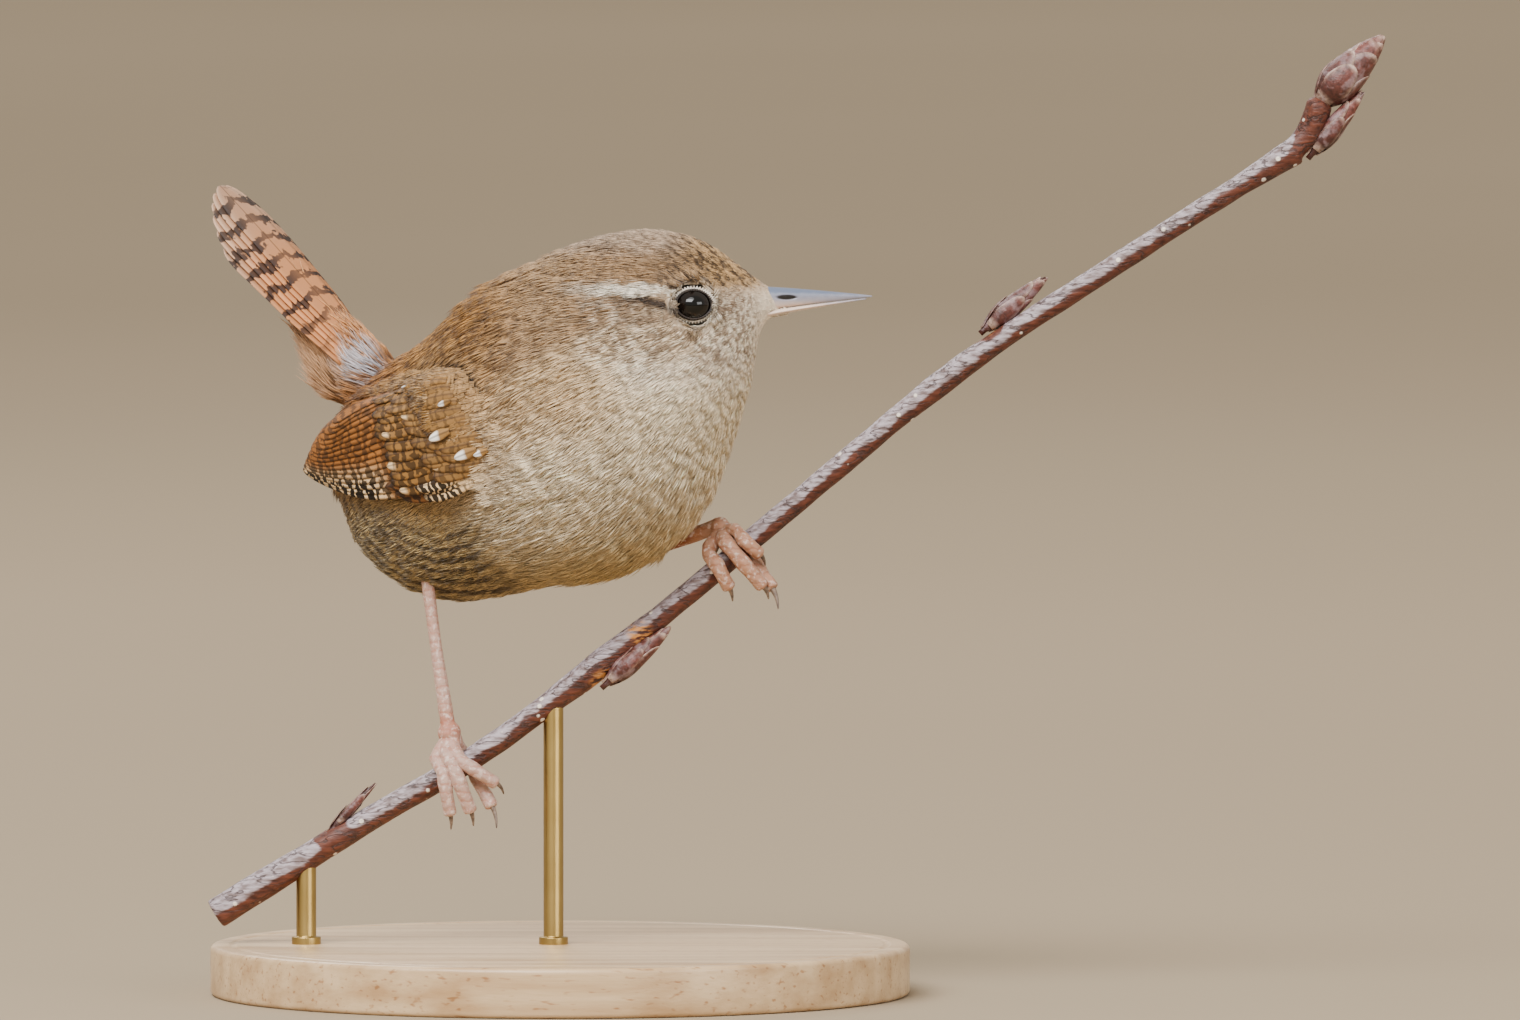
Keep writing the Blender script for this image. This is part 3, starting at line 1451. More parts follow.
@dataclass
class WingBed:
    """The curved surface that each folded wing lies on, laid out as along to the tail and across upwards."""

    forward: float = -4.2
    up: float = -0.4
    radius: float = 16.0
    closing: float = 1 / 56
    droop: float = math.radians(5)
    gap: float = 0.3
    front: tuple[float, float] = (-11.5, -2.5)
    sunk: float = -0.9
    hug: tuple[float, float] = (3.8, 7.6)
    top: tuple[float, float] = (6.4, 9.8)
    top_share: float = 0.85
    flesh: BVHTree | None = None

    def measure(self) -> None:
        """Reads the CAD flesh that the wings lie on."""
        form = node_copy("torso", "neck")
        polygons = [tuple(face.vertices) for face in form.data.polygons]
        self.flesh = BVHTree.FromPolygons([v.co / MM for v in form.data.vertices], polygons)
        bpy.data.objects.remove(form)

    def raised(self, along: float, across: float, lift: float) -> float:
        """Gives the height over the bed of a feather that sinks in at the wing's front and top.

        Args:
            along: millimetres towards the tail.
            across: millimetres up round the flank.
            lift: the height where it is not sunk.

        Returns:
            The height in millimetres.
        """
        full = float(smooth(self.front[0], self.front[1], along))
        full *= 1 - self.top_share * float(smooth(self.top[0], self.top[1], across))
        return lift * full + self.sunk * (1 - full)

    def point(self, side: int, along: float, across: float) -> tuple[Array, Array]:
        """Gives a place on the bed and the way it faces.

        Args:
            side: -1 for the right wing and 1 for the left.
            along: millimetres towards the tail.
            across: millimetres up round the flank.

        Returns:
            The place and its outward direction.
        """
        angle = across / self.radius
        upright = math.sin(angle) * self.radius
        slope = along * math.cos(self.droop) + upright * math.sin(self.droop)
        axis = BIRD.place(self.forward - slope, 0, self.up - along * math.sin(self.droop))
        outward = side * math.cos(angle) * BIRD.left + math.sin(angle) * BIRD.up
        free = self.radius - self.closing * max(0.0, along) ** 2
        far = Vector(axis + outward * 30)
        hit = self.flesh.ray_cast(far, Vector(-outward))
        skin = 30 - hit[3] if hit[0] is not None else 0.0
        t = min(1.0, max(0.0, 0.5 + (skin - free) / 4))
        reach = free + (skin - free) * t + 2 * t * (1 - t) + self.gap
        if hit[0] is not None:
            reach += (min(reach, skin + self.gap) - reach) * float(smooth(self.hug[0], self.hug[1], across))
        return axis + outward * reach, outward


WING_BED = WingBed()


@dataclass
class Vane:
    """One crisp feather: a closed, slightly cambered blade with a rounded tip, and its colours."""

    place: Callable[[float, float], tuple[Array, Array]]
    length: float
    half: float
    ground: Callable[[Array, Array], Array]
    barring: Callable[[Array, Array], Array]
    camber: float = 0.16
    thick: float = 0.09
    blunt: float = 0.72
    stretch: float = 1.0
    rows: int = 16
    columns: int = 8

    def outline(self, s: float) -> float:
        """Gives the share of the full width at a share of the length.

        Args:
            s: a share of the length.

        Returns:
            The share of the full width.
        """
        swell = 0.5 + 0.5 * min(1.0, s / 0.4)
        end = max(0.0, (s - self.blunt) / (1.003 - self.blunt))
        return max(0.03, swell * math.sqrt(max(0.0, 1 - end ** 2)))

    def mesh(self, cell: tuple[float, float, float]) -> tuple[Array, Array, Array, Array, Array, Array]:
        """Makes the blade's arrays.

        Args:
            cell: the feather's own square on the bake map, as corner and size.

        Returns:
            Points, quads, places along and across, bake places, ground colours and bar strengths.
        """
        shares = 1 - (1 - np.linspace(0, 1, self.rows)) ** 1.35
        sides = np.linspace(-1, 1, self.columns + 1)
        upper, lower, vane_map, bake, grid_s, grid_c = [], [], [], [], [], []
        for s in shares:
            width = self.half * self.outline(s)
            for c in sides:
                point, outward = self.place(s, c * width)
                crown = self.camber * (1 - abs(c) ** 1.6) * (1 - 0.5 * s)
                upper.append(point + outward * crown)
                lower.append(point + outward * (crown - self.thick * (1 - 0.6 * s)))
                vane_map.append((s * self.length * self.stretch, c * width))
                bake.append((cell[0] + cell[2] * (0.08 + 0.84 * s), cell[1] + cell[2] * (0.5 + 0.42 * c)))
                grid_s.append(s)
                grid_c.append(c)
        points = np.array(upper + lower)
        n, w = len(upper), self.columns + 1
        quads = []
        for i in range(self.rows - 1):
            for j in range(self.columns):
                a = i * w + j
                quads.append((a, a + 1, a + w + 1, a + w))
                quads.append((a + n, a + n + w, a + n + w + 1, a + n + 1))
            for a, b in ((i * w, (i + 1) * w), ((i + 1) * w + w - 1, i * w + w - 1)):
                quads.append((a, b, b + n, a + n))
        for j in range(self.columns):
            quads.append((j + 1, j, j + n, j + 1 + n))
            a = (self.rows - 1) * w + j
            quads.append((a, a + 1, a + 1 + n, a + n))
        s, c = np.array(grid_s), np.array(grid_c)
        looks = (np.array(vane_map), np.array(bake), self.ground(s, c), self.barring(s, c))
        return points, np.array(quads), *(np.concatenate([values, values]) for values in looks)


def unbarred(s: Array, c: Array) -> Array:
    """Gives no bars at any place on a feather."""
    return np.zeros(len(s))


def join_vanes(name: str, vanes: Sequence[Vane], rng: np.random.Generator, slip: float) -> bpy.types.Object:
    """Makes one piece of many feathers, each with its own square on the bake map.

    Args:
        name: the piece's name.
        vanes: the feathers, the lowest first.
        rng: the seeded source of small differences.
        slip: how far the bars of one feather may lie from its neighbour's.

    Returns:
        The joined piece.
    """
    grid = math.ceil(math.sqrt(len(vanes)))
    parts, start = [[] for _ in range(6)], 0
    for number, vane in enumerate(vanes):
        arrays = vane.mesh(((number % grid) / grid, (number // grid) / grid, 1 / grid))
        tone = rng.normal(1, 0.12)
        shift = np.array([rng.uniform(0, slip), 0])
        for store, values in zip(parts, arrays):
            store.append(values)
        parts[1][-1] = parts[1][-1] + start
        parts[2][-1] = parts[2][-1] + shift
        parts[4][-1] = np.clip(parts[4][-1] * tone, 0, 1)
        start += len(arrays[0])
    points, quads, vane_map, bake, ground, bars = (np.concatenate(values) for values in parts)
    piece = mesh_piece(name, points, quads)
    face_outwards(piece)
    corner_map(piece, "OFBake", bake)
    corner_map(piece, "Vane", vane_map)
    point_colours(piece, "Ground", ground)
    point_values(piece, "Barring", bars)
    return piece


@dataclass(frozen=True)
class Row:
    """One row of wing coverts, given from its lowest feather to its highest."""

    count: int
    roots: tuple[tuple[float, float], tuple[float, float]]
    tips: tuple[tuple[float, float], tuple[float, float]]
    half: float
    lift: tuple[float, float]
    colour: int
    rim: int
    bars: float
    spots: dict[int, int] = field(default_factory=dict)
    drop: float = 0.1
    stretch: float = 1.0


@dataclass
class Wing:
    """A folded wing in tiers: flight feathers, three rows of coverts, alula and primary coverts."""

    side: int
    rust: int = 0x955D28
    dusk: int = 0x6E4520
    tan: int = 0x8C6739
    mottled: int = 0x8A6231
    buff: int = 0xF0CFA0
    black: int = 0x17100B
    umber: int = 0x4A2E18
    spot: int = 0xFBF6EE
    tip: float = 20.2
    flight_count: int = 17
    period: float = 1.45
    tilt: float = -0.15
    scapular: float = 2.25
    drop_proud: float = 0.42
    seed: int = 31

    @property
    def rows(self) -> tuple[Row, ...]:
        """The covert rows, from the longest and lowest to the shortest and highest.

        Returns:
            The rows.
        """
        return (
            Row(4, ((-4.5, -4.4), (-2.4, -2.4)), ((3.0, -4.7), (4.6, -3.3)), 0.75, (0.9, 1.2),
                self.dusk, self.black, 0.7),
            Row(3, ((-7.6, -3.6), (-6.6, -2.6)), ((-0.6, -5.2), (0.4, -3.9)), 0.85, (1.2, 1.5),
                self.buff, self.black, 0.95, stretch=1.7),
            Row(14, ((-5.0, -2.8), (-2.0, 8.6)), ((3.2, -3.4), (6.9, 7.2)), 0.95, (1.35, 1.95),
                self.mottled, self.black, 0.55, {0: self.buff, 3: self.buff, 7: self.buff}),
            Row(14, ((-9.0, -2.0), (-4.2, 7.2)), ((-2.6, -2.6), (4.0, 6.6)), 0.8, (1.7, 2.15),
                self.tan, self.umber, 0.3, {1: self.buff, 9: self.buff}, 0.0, 1.3),
            Row(13, ((-11.0, -1.4), (-5.4, 6.8)), ((-5.2, -1.6), (1.4, 6.6)), 0.75, (1.95, 2.3),
                self.tan, self.umber, 0.22, {}, -0.1, 1.4))

    def feather(self, root: Array, end: Array, half: float, lift: float, bow: float = 0, drop: float = 0,
                proud: float = 0, **looks: object) -> Vane:
        """Lays one feather on the bed.

        Args:
            root: along and across of its root.
            end: along and across of its tip.
            half: half its greatest width.
            lift: how far over the bed it lies.
            bow: how far it bows upwards in the middle.
            drop: how far its tip sinks.
            proud: how far it stands over the soft feathers, also where the wing's front sinks into them.
            looks: its ground and barring, and the blade's other sizes.

        Returns:
            The feather.
        """
        step = end - root
        length = float(np.hypot(*step))
        run = step / length

        def place(s: float, w: float) -> tuple[Array, Array]:
            """Puts a place on the feather onto the wing.

            Args:
                s: shares of the feather's length.
                w: millimetres across from its shaft.

            Returns:
                The place and its outward direction.
            """
            shift = w + bow * math.sin(math.pi * s)
            at = root + step * s + np.array([-run[1], run[0]]) * shift
            point, outward = WING_BED.point(self.side, at[0], at[1])
            rise = WING_BED.raised(at[0], at[1], lift - drop * s + self.tilt * w) + proud
            return point + outward * rise, outward

        return Vane(place, length, half, **looks)

    def flight(self, rng: np.random.Generator) -> list[Vane]:
        """Lays the primaries, secondaries and tertials, the lowest first.

        The outer webs of the lowest, towards their tips, are chequered black and buff.

        Args:
            rng: the seeded source of small differences.

        Returns:
            The feathers.
        """
        vanes = []
        for i in range(self.flight_count):
            k = i / (self.flight_count - 1)
            root = np.array([3.2 * k, -4.1 + 12.7 * k])
            end = np.array([self.tip + (13.4 - self.tip) * k ** 1.7, -2.2 + 7.6 * k ** 1.35])
            end[0] += rng.normal(0, 0.14)
            low = max(0.0, 1 - 0.8 * max(0.0, k - 0.12) / 0.22)
            length = float(np.hypot(*(end - root)))

            def chequered(s: Array, c: Array, low: float = low, length: float = length) -> Array:
                """Tells how strongly the outer web is chequered."""
                return low * smooth(3.0, 6.5, s * length) * smooth(0.35, 0.05, c)

            def ground(s: Array, c: Array, checks: Callable = chequered) -> Array:
                """Colours the web rust, with a dusky side, buff checks and a dark edge.

                Args:
                    s: shares of the feather's length.
                    c: shares of its half width, from -1 to 1.
                    checks: the chequering.

                Returns:
                    One linear colour for each place.
                """
                base = blend(self.rust, self.dusk, 0.55 * smooth(0.0, 0.9, c))
                base = blend(base, self.buff, checks(s, c))
                return blend(base, self.black, 0.65 * smooth(-0.78, -0.97, c))

            def barring(s: Array, c: Array, checks: Callable = chequered) -> Array:
                """Strengthens the bars where the web is chequered."""
                return np.clip(0.42 + 0.58 * checks(s, c), 0, 1) * smooth(0.0, 0.12, s)

            vanes.append(self.feather(root, end, 1.3 + 0.85 * k, 0.4 + 1.2 * k, bow=-0.6 + 1.5 * k,
                                      drop=0.1 * k, ground=ground, barring=barring))
        return vanes

    def tier(self, row: Row, rng: np.random.Generator) -> list[Vane]:
        """Lays one row of coverts, each with a dark rim and some with a pale spot at the tip.

        Args:
            row: its sizes and colours.
            rng: the seeded source of small differences.

        Returns:
            The feathers.
        """
        vanes = []
        for i in range(row.count):
            k = i / (row.count - 1)
            root = np.array(row.roots[0]) * (1 - k) + np.array(row.roots[1]) * k
            end = np.array(row.tips[0]) * (1 - k) + np.array(row.tips[1]) * k + rng.normal(0, 0.42, 2)
            tip = row.spots.get(i)

            def ground(s: Array, c: Array, tip: int | None = tip) -> Array:
                """Colours a covert, with its dark rim and a pale tip if it has one.

                Args:
                    s: shares of the feather's length.
                    c: shares of its half width, from -1 to 1.
                    tip: the colour of a pale tip, if it has one.

                Returns:
                    One linear colour for each place.
                """
                rim = np.maximum(smooth(0.75, 1.0, np.abs(c)) * 0.4, smooth(0.8, 0.97, s))
                base = blend(row.colour, row.rim, rim * 0.7)
                if tip is None:
                    return base
                return blend(base, tip, smooth(0.82, 0.88, s) * smooth(0.8, 0.5, np.abs(c)))

            def barring(s: Array, c: Array, tip: int | None = tip) -> Array:
                """Bars a covert, but for a pale tip."""
                clear = 1 if tip is None else smooth(0.88, 0.82, s)
                return row.bars * smooth(0.05, 0.3, s) * clear

            lift = row.lift[0] + (row.lift[1] - row.lift[0]) * k + rng.normal(0, 0.03)
            half = row.half * rng.uniform(0.9, 1.1)
            vanes.append(self.feather(root, end, half, lift, drop=row.drop, ground=ground, barring=barring,
                                      rows=12, columns=6, blunt=0.6, stretch=row.stretch))
        return vanes

    def bed_place(self, x: float, z: float) -> Array:
        """Finds along and across on the bed for a place on the bird's right side.

        Args:
            x: its place along X.
            z: its height.

        Returns:
            The nearest pair found.
        """
        places = [(along, across) for along in np.arange(-12, 8, 0.5) for across in np.arange(-4, 13, 0.5)]
        miss = [np.hypot(*(WING_BED.point(-1, *place)[0][[0, 2]] - (x, z))) for place in places]
        return np.array(places[int(np.argmin(miss))])

    def drops(self) -> list[Vane]:
        """Lays the few small scapular feathers that end in a white drop.

        Returns:
            The feathers.
        """
        vanes = []
        for x, z, size in MARKINGS.spots:
            seat = self.bed_place(x, z)

            def ground(s: Array, c: Array) -> Array:
                """Colours the feather brown with a white end."""
                white = smooth(0.45, 0.6, s) * smooth(1.0, 0.8, np.abs(c))
                return blend(MARKINGS.covert, self.spot, white)

            root, end = seat - np.array([2.6, -0.5]) * size, seat + np.array([1.0, -0.4]) * size
            vanes.append(self.feather(root, end, 0.75 * size, self.scapular, proud=self.drop_proud,
                                      ground=ground, barring=unbarred, rows=12, columns=6, blunt=0.45))
        return vanes

    def build(self) -> bpy.types.Object:
        """Makes the whole folded wing.

        Returns:
            The finished piece.
        """
        rng = np.random.default_rng(self.seed)
        vanes = self.flight(rng)
        for row in self.rows:
            vanes += self.tier(row, rng)
        vanes += self.drops()
        name = "wing_right" if self.side < 0 else "wing_left"
        piece = join_vanes(f"{name}_feathers", vanes, rng, self.period)
        vaned = Vaned(self.period, bar=self.black, raggedness=0.7)
        finish_piece(piece, vaned.make(f"{name}_barred_vanes"))
        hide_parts(name)
        return piece


@dataclass
class Tail:
    """The cocked tail: twelve barred feathers, the middle pair on top and each pair below it shorter."""

    length: float = 30.8
    half: float = 2.6
    fan: float = math.radians(1.1)
    sag: float = 1.2
    rufous: int = 0xD28E5C
    grey: int = 0xBC9274
    pale: int = 0xE0C4A8
    bar: int = 0x1E1A1E
    slip: float = 0.9
    seed: int = 8

    def feather(self, side: int, order: int) -> Vane:
        """Lays one tail feather, counted outwards from the middle.

        Args:
            side: -1 for the right and 1 for the left.
            order: the pair, counted outwards from the middle.

        Returns:
            The feather.
        """
        length = self.length - 3 - 0.35 * order - 0.22 * order ** 2
        lean = math.sin(self.fan * (order + 0.45)) * side
        offset = side * (0.35 + order * 0.42)
        lift = 0.5 - 0.36 * order + 0.16 * side
        _, _, top = BIRD.tail_axes

        def place(s: float, w: float) -> tuple[Array, Array]:
            """Puts a place on the feather onto the tail.

            Args:
                s: shares of the feather's length.
                w: millimetres across from its shaft.

            Returns:
                The place and its outward direction.
            """
            along = 3 + length * s
            across = offset + along * lean + w
            rise = lift - 0.045 * (across - offset) * side + 0.6 * (s - 0.5) ** 2 - self.sag * s ** 2
            return BIRD.on_tail(along, across, rise), top

        def ground(s: Array, c: Array) -> Array:
            """Greys the web towards its end and pales its edges."""
            base = blend(self.rufous, self.grey, smooth(0.45, 1, s))
            return blend(base, self.pale, 0.35 * smooth(0.5, 1, np.abs(c)) * smooth(0.5, 1, s))

        def barring(s: Array, c: Array) -> Array:
            """Bars the web between its root and its tip."""
            return smooth(0.05, 0.35, s) * (0.4 + 0.5 * np.abs(c)) * smooth(1.0, 0.94, s)

        half = self.half - 0.12 * order
        return Vane(place, length, half, ground, barring, camber=0.14, blunt=0.80, rows=26)

    def build(self) -> bpy.types.Object:
        """Makes the tail from its lowest pair to its highest.

        Returns:
            The finished piece.
        """
        vanes = [self.feather(side, order) for order in range(5, -1, -1) for side in (-1, 1)]
        piece = join_vanes("tail_feathers", vanes, np.random.default_rng(self.seed), self.slip)
        vaned = Vaned(period=3.1, bar=self.bar, raggedness=0.8, breadth=0.2)
        finish_piece(piece, vaned.make("tail_barred_vanes"))
        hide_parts("tail")
        return piece


# Bill, eyes and legs


@dataclass
class Bill:
    """Two slender horn halves, grown station by station from a ring at the gape."""

    base: float = 23.4
    tip: float = 37.5
    y: float = -2.5
    stations: int = 20
    nostril: tuple[float, float] = (27.2, 83.9)

    def half(self, upper: bool) -> bpy.types.Object:
        """Extrudes one half from its root to its tip.

        Args:
            upper: whether this is the upper half.

        Returns:
            The finished half.
        """
        def size(t: float) -> tuple[float, float, float]:
            """Gives the section at a share of the length.

            Args:
                t: a share of the length.

            Returns:
                Half the width, and the lowest and highest height.
            """
            mouth = 82.0 + (83.85 - 82.0) * t ** 0.78
            ridge = 85.2 + (84.07 - 85.2) * t ** 1.35
            keel = 81.1 + (83.6 - 81.1) * t ** 0.85
            wide = 1.5 * (0.1 + 0.9 * (1 - t) ** 0.8) + 0.05
            low, high = (mouth + 0.05, ridge) if upper else (keel, mouth - 0.07)
            return wide, low, high

        tip = self.tip - (0 if upper else 0.7)
        _, low, high = size(0)
        deselect()
        bpy.ops.mesh.primitive_circle_add(vertices=28, radius=1 * MM, fill_type="NGON",
                                          rotation=(0, math.pi / 2, 0),
                                          location=(self.base * MM, self.y * MM, (low + high) / 2 * MM))
        piece = bpy.context.object
        bpy.ops.object.transform_apply(location=True, rotation=True, scale=True)
        bpy.ops.object.mode_set(mode="EDIT")
        bpy.ops.mesh.select_all(action="SELECT")
        before = (1.0, 1.0, (low + high) / 2, self.base)
        for i in range(self.stations + 1):
            t = i / self.stations
            wide, low, high = size(t)
            middle, tall, x = (low + high) / 2, max((high - low) / 2, 0.05), self.base + (tip - self.base) * t
            if i:
                step = (x - before[3]) * MM, 0, (middle - before[2]) * MM
                bpy.ops.mesh.extrude_region_move(TRANSFORM_OT_translate={"value": step})
            bpy.ops.transform.resize(value=(1, wide / before[0], tall / before[1]),
                                     center_override=(x * MM, self.y * MM, middle * MM))
            before = (wide, tall, middle, x)
        bpy.ops.object.mode_set(mode="OBJECT")
        points = mesh_points(piece)
        t = np.clip((points[:, 0] - self.base) / (tip - self.base), 0, 1)
        lows, highs = np.array([size(v)[1] for v in t]), np.array([size(v)[2] for v in t])
        share = (points[:, 2] - lows) / np.maximum(highs - lows, 0.02)
        share = share if upper else 1 - share
        flat = smooth(0.0, 0.45, share)
        level = np.where(flat < 1, share * flat, share)
        points[:, 2] = lows + (level if upper else 1 - level) * (highs - lows)
        move_points(piece, points)
        subdivide = piece.modifiers.new("round", "SUBSURF")
        subdivide.levels = subdivide.render_levels = 2
        apply_modifiers(piece)
        face_outwards(piece)
        bpy.ops.object.shade_smooth()
        name = "upper_bill" if upper else "lower_bill"
        settle(piece, name)
        points = mesh_points(piece)
        reach = np.hypot((points[:, 0] - self.nostril[0]) / 1.25, (points[:, 2] - self.nostril[1]) / 0.3)
        slit = smooth(1.15, 0.8, reach) * upper
        points[:, 1] -= np.sign(points[:, 1] - self.y) * 0.12 * slit
        move_points(piece, points)
        point_values(piece, "Slit", slit)
        finish_piece(piece, BillHorn().make(f"{name}_horn"))
        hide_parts("bill_upper" if upper else "bill_lower")
        return piece

    def build(self) -> list[bpy.types.Object]:
        """Makes both halves."""
        return [self.half(True), self.half(False)]


@dataclass
class Eye:
    """A dark globe with a raised cornea, ringed by a thin bare lid."""

    side: str
    radius: float = 2.42
    lid: float = 2.0
    lid_thick: float = 0.13
    fringe: float = 2.28
    fringe_thick: float = 0.26
    flatness: float = 0.86
    globe_height: float = 0.88
    lashes: int = 46

    def build(self) -> list[bpy.types.Object]:
        """Makes the globe and its lid.

        Returns:
            Globe, lid and ring of feathers.
        """
        centre = eye_centre(self.side)
        sign = -1 if self.side == "right" else 1
        facing = Vector(unit(np.array([0.12, sign, 0.10])))
        turn = facing.to_track_quat("Z", "Y").to_euler()
        deselect()
        bpy.ops.mesh.primitive_uv_sphere_add(segments=64, ring_count=40, radius=self.radius * MM,
                                             location=centre * MM, rotation=turn)
        globe = bpy.context.object
        settle(globe, f"globe_{self.side}")
        away = unit(mesh_points(globe) - centre) @ np.array(facing)
        raised = centre + (mesh_points(globe) - centre) * (1 + 0.05 * smooth(0.75, 1.0, away))[:, None]
        raised[:, 2] = centre[2] + (raised[:, 2] - centre[2]) * self.globe_height
        move_points(globe, raised)
        point_values(globe, "Iris", np.degrees(np.arccos(np.clip(away, -1, 1))) / 60)
        activate(globe)
        bpy.ops.object.shade_smooth()
        finish_piece(globe, EyeGlobe().make(f"eye_{self.side}_wet"))
        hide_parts(f"eye_{self.side}")

        bare = PlainHorn(0x1D1613, 0x3A2D25, 0.5).make(f"lid_{self.side}_skin")
        pale = PlainHorn(0xCFC0AE, 0xF0E7DA, 0.8).make(f"eye_ring_{self.side}_feathers")
        lid = self.ring(f"lid_{self.side}", centre, facing, self.lid, self.lid_thick, 0.10, bare)
        fringe = self.ring(f"eye_ring_{self.side}", centre, facing, self.fringe, self.fringe_thick, -0.05,
                           pale)
        return [globe, lid, fringe]

    def ring(self, name: str, centre: Array, facing: Vector, major: float, minor: float, proud: float,
             material: bpy.types.Material) -> bpy.types.Object:
        """Lays one ring round the eye, a little flattened from above, with its rim broken into short tufts.

        Args:
            name: the ring's name.
            centre: the middle of the globe.
            facing: the way the eye looks.
            major: the ring's radius.
            minor: the radius of its section.
            proud: how far it stands over the place where it meets the globe.
            material: its finish.

        Returns:
            The ring.
        """
        seat = centre + np.array(facing) * (math.sqrt(max(self.radius ** 2 - major ** 2, 0.5)) + proud)
        turn = facing.to_track_quat("Z", "Y").to_euler()
        deselect()
        bpy.ops.mesh.primitive_torus_add(major_radius=major * MM, minor_radius=minor * MM, major_segments=240,
                                         minor_segments=14, location=seat * MM, rotation=turn)
        ring = bpy.context.object
        settle(ring, name)
        away = mesh_points(ring) - seat
        angle = np.arctan2(away[:, 2], away[:, 0])
        outer = smooth(major, major + minor, np.linalg.norm(away, axis=1))
        away *= (1 + 0.07 * outer * np.sin(angle * self.lashes))[:, None]
        away[:, 2] *= self.flatness
        away[:, 0] *= 1.08
        move_points(ring, seat + away)
        activate(ring)
        bpy.ops.object.shade_smooth()
        return finish_piece(ring, material)


@dataclass
class Leg:
    """A bare shank and a gripping foot in one soft form, with separate curved claws."""

    side: str
    swell: float = 0.24
    plump: float = 0.2
    claws: tuple[str, ...] = ("inner", "middle", "outer", "hind")

    def build(self) -> list[bpy.types.Object]:
        """Makes the leg from its CAD forms, then its claws.

        Returns:
            The leg with its claws.
        """
        flesh = rounded_copy([f"leg_{self.side}", f"foot_{self.side}"], 0.12, 4, self.swell)
        settle(flesh, f"shank_and_toes_{self.side}")
        low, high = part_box(f"foot_{self.side}")
        joint = high.z / MM - 1.2
        points = mesh_points(flesh)
        plump = self.plump * smooth(joint + 0.5, joint - 1.5, points[:, 2])
        move_points(flesh, points + mesh_normals(flesh) * plump[:, None])
        height = mesh_points(flesh)[:, 2] - joint
        flush = np.exp(-(height / 2.2) ** 2) * 0.75 + 0.25 * smooth(4, 20, height)
        if self.side == "left":
            reach = mesh_points(flesh)[:, 0] - low.x / MM
            flush = np.maximum(0.95 * smooth(1.0, -2.5, reach), 0.28)
        point_values(flesh, "Flush", flush)
        skin = BareSkin() if self.side == "right" else BareSkin(pale=0xB08C78, mid=0xA87250, deep=0x7C3F1C)
        finish_piece(flesh, skin.make(f"leg_{self.side}_skin"))
        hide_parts(f"leg_{self.side}", f"foot_{self.side}")
        made = [flesh]
        horn = PlainHorn(0x4E3F36, 0x8B7767).make(f"claw_{self.side}_horn")
        for toe in self.claws:
            node = f"claw_{self.side}_{toe}"
            claw = node_copy(node)
            swell = claw.modifiers.new("round", "SUBSURF")
            swell.levels = swell.render_levels = 2
            apply_modifiers(claw)
            bpy.ops.object.shade_smooth()
            settle(claw, f"{node}_horn")
            points = mesh_points(claw)
            root = points[points[:, 2] > np.quantile(points[:, 2], 0.85)].mean(0)
            points = root + (points - root) * 1.12
            points[:, 2] += 0.15
            move_points(claw, points)
            finish_piece(claw, horn)
            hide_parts(node)
            made.append(claw)
        return made


# Perch and stand


@dataclass(frozen=True)
class Bud:
    """One bud on the twig."""

    name: str
    root: tuple[float, float, float]
    tip: tuple[float, float, float]
    radius: float
    scales: int


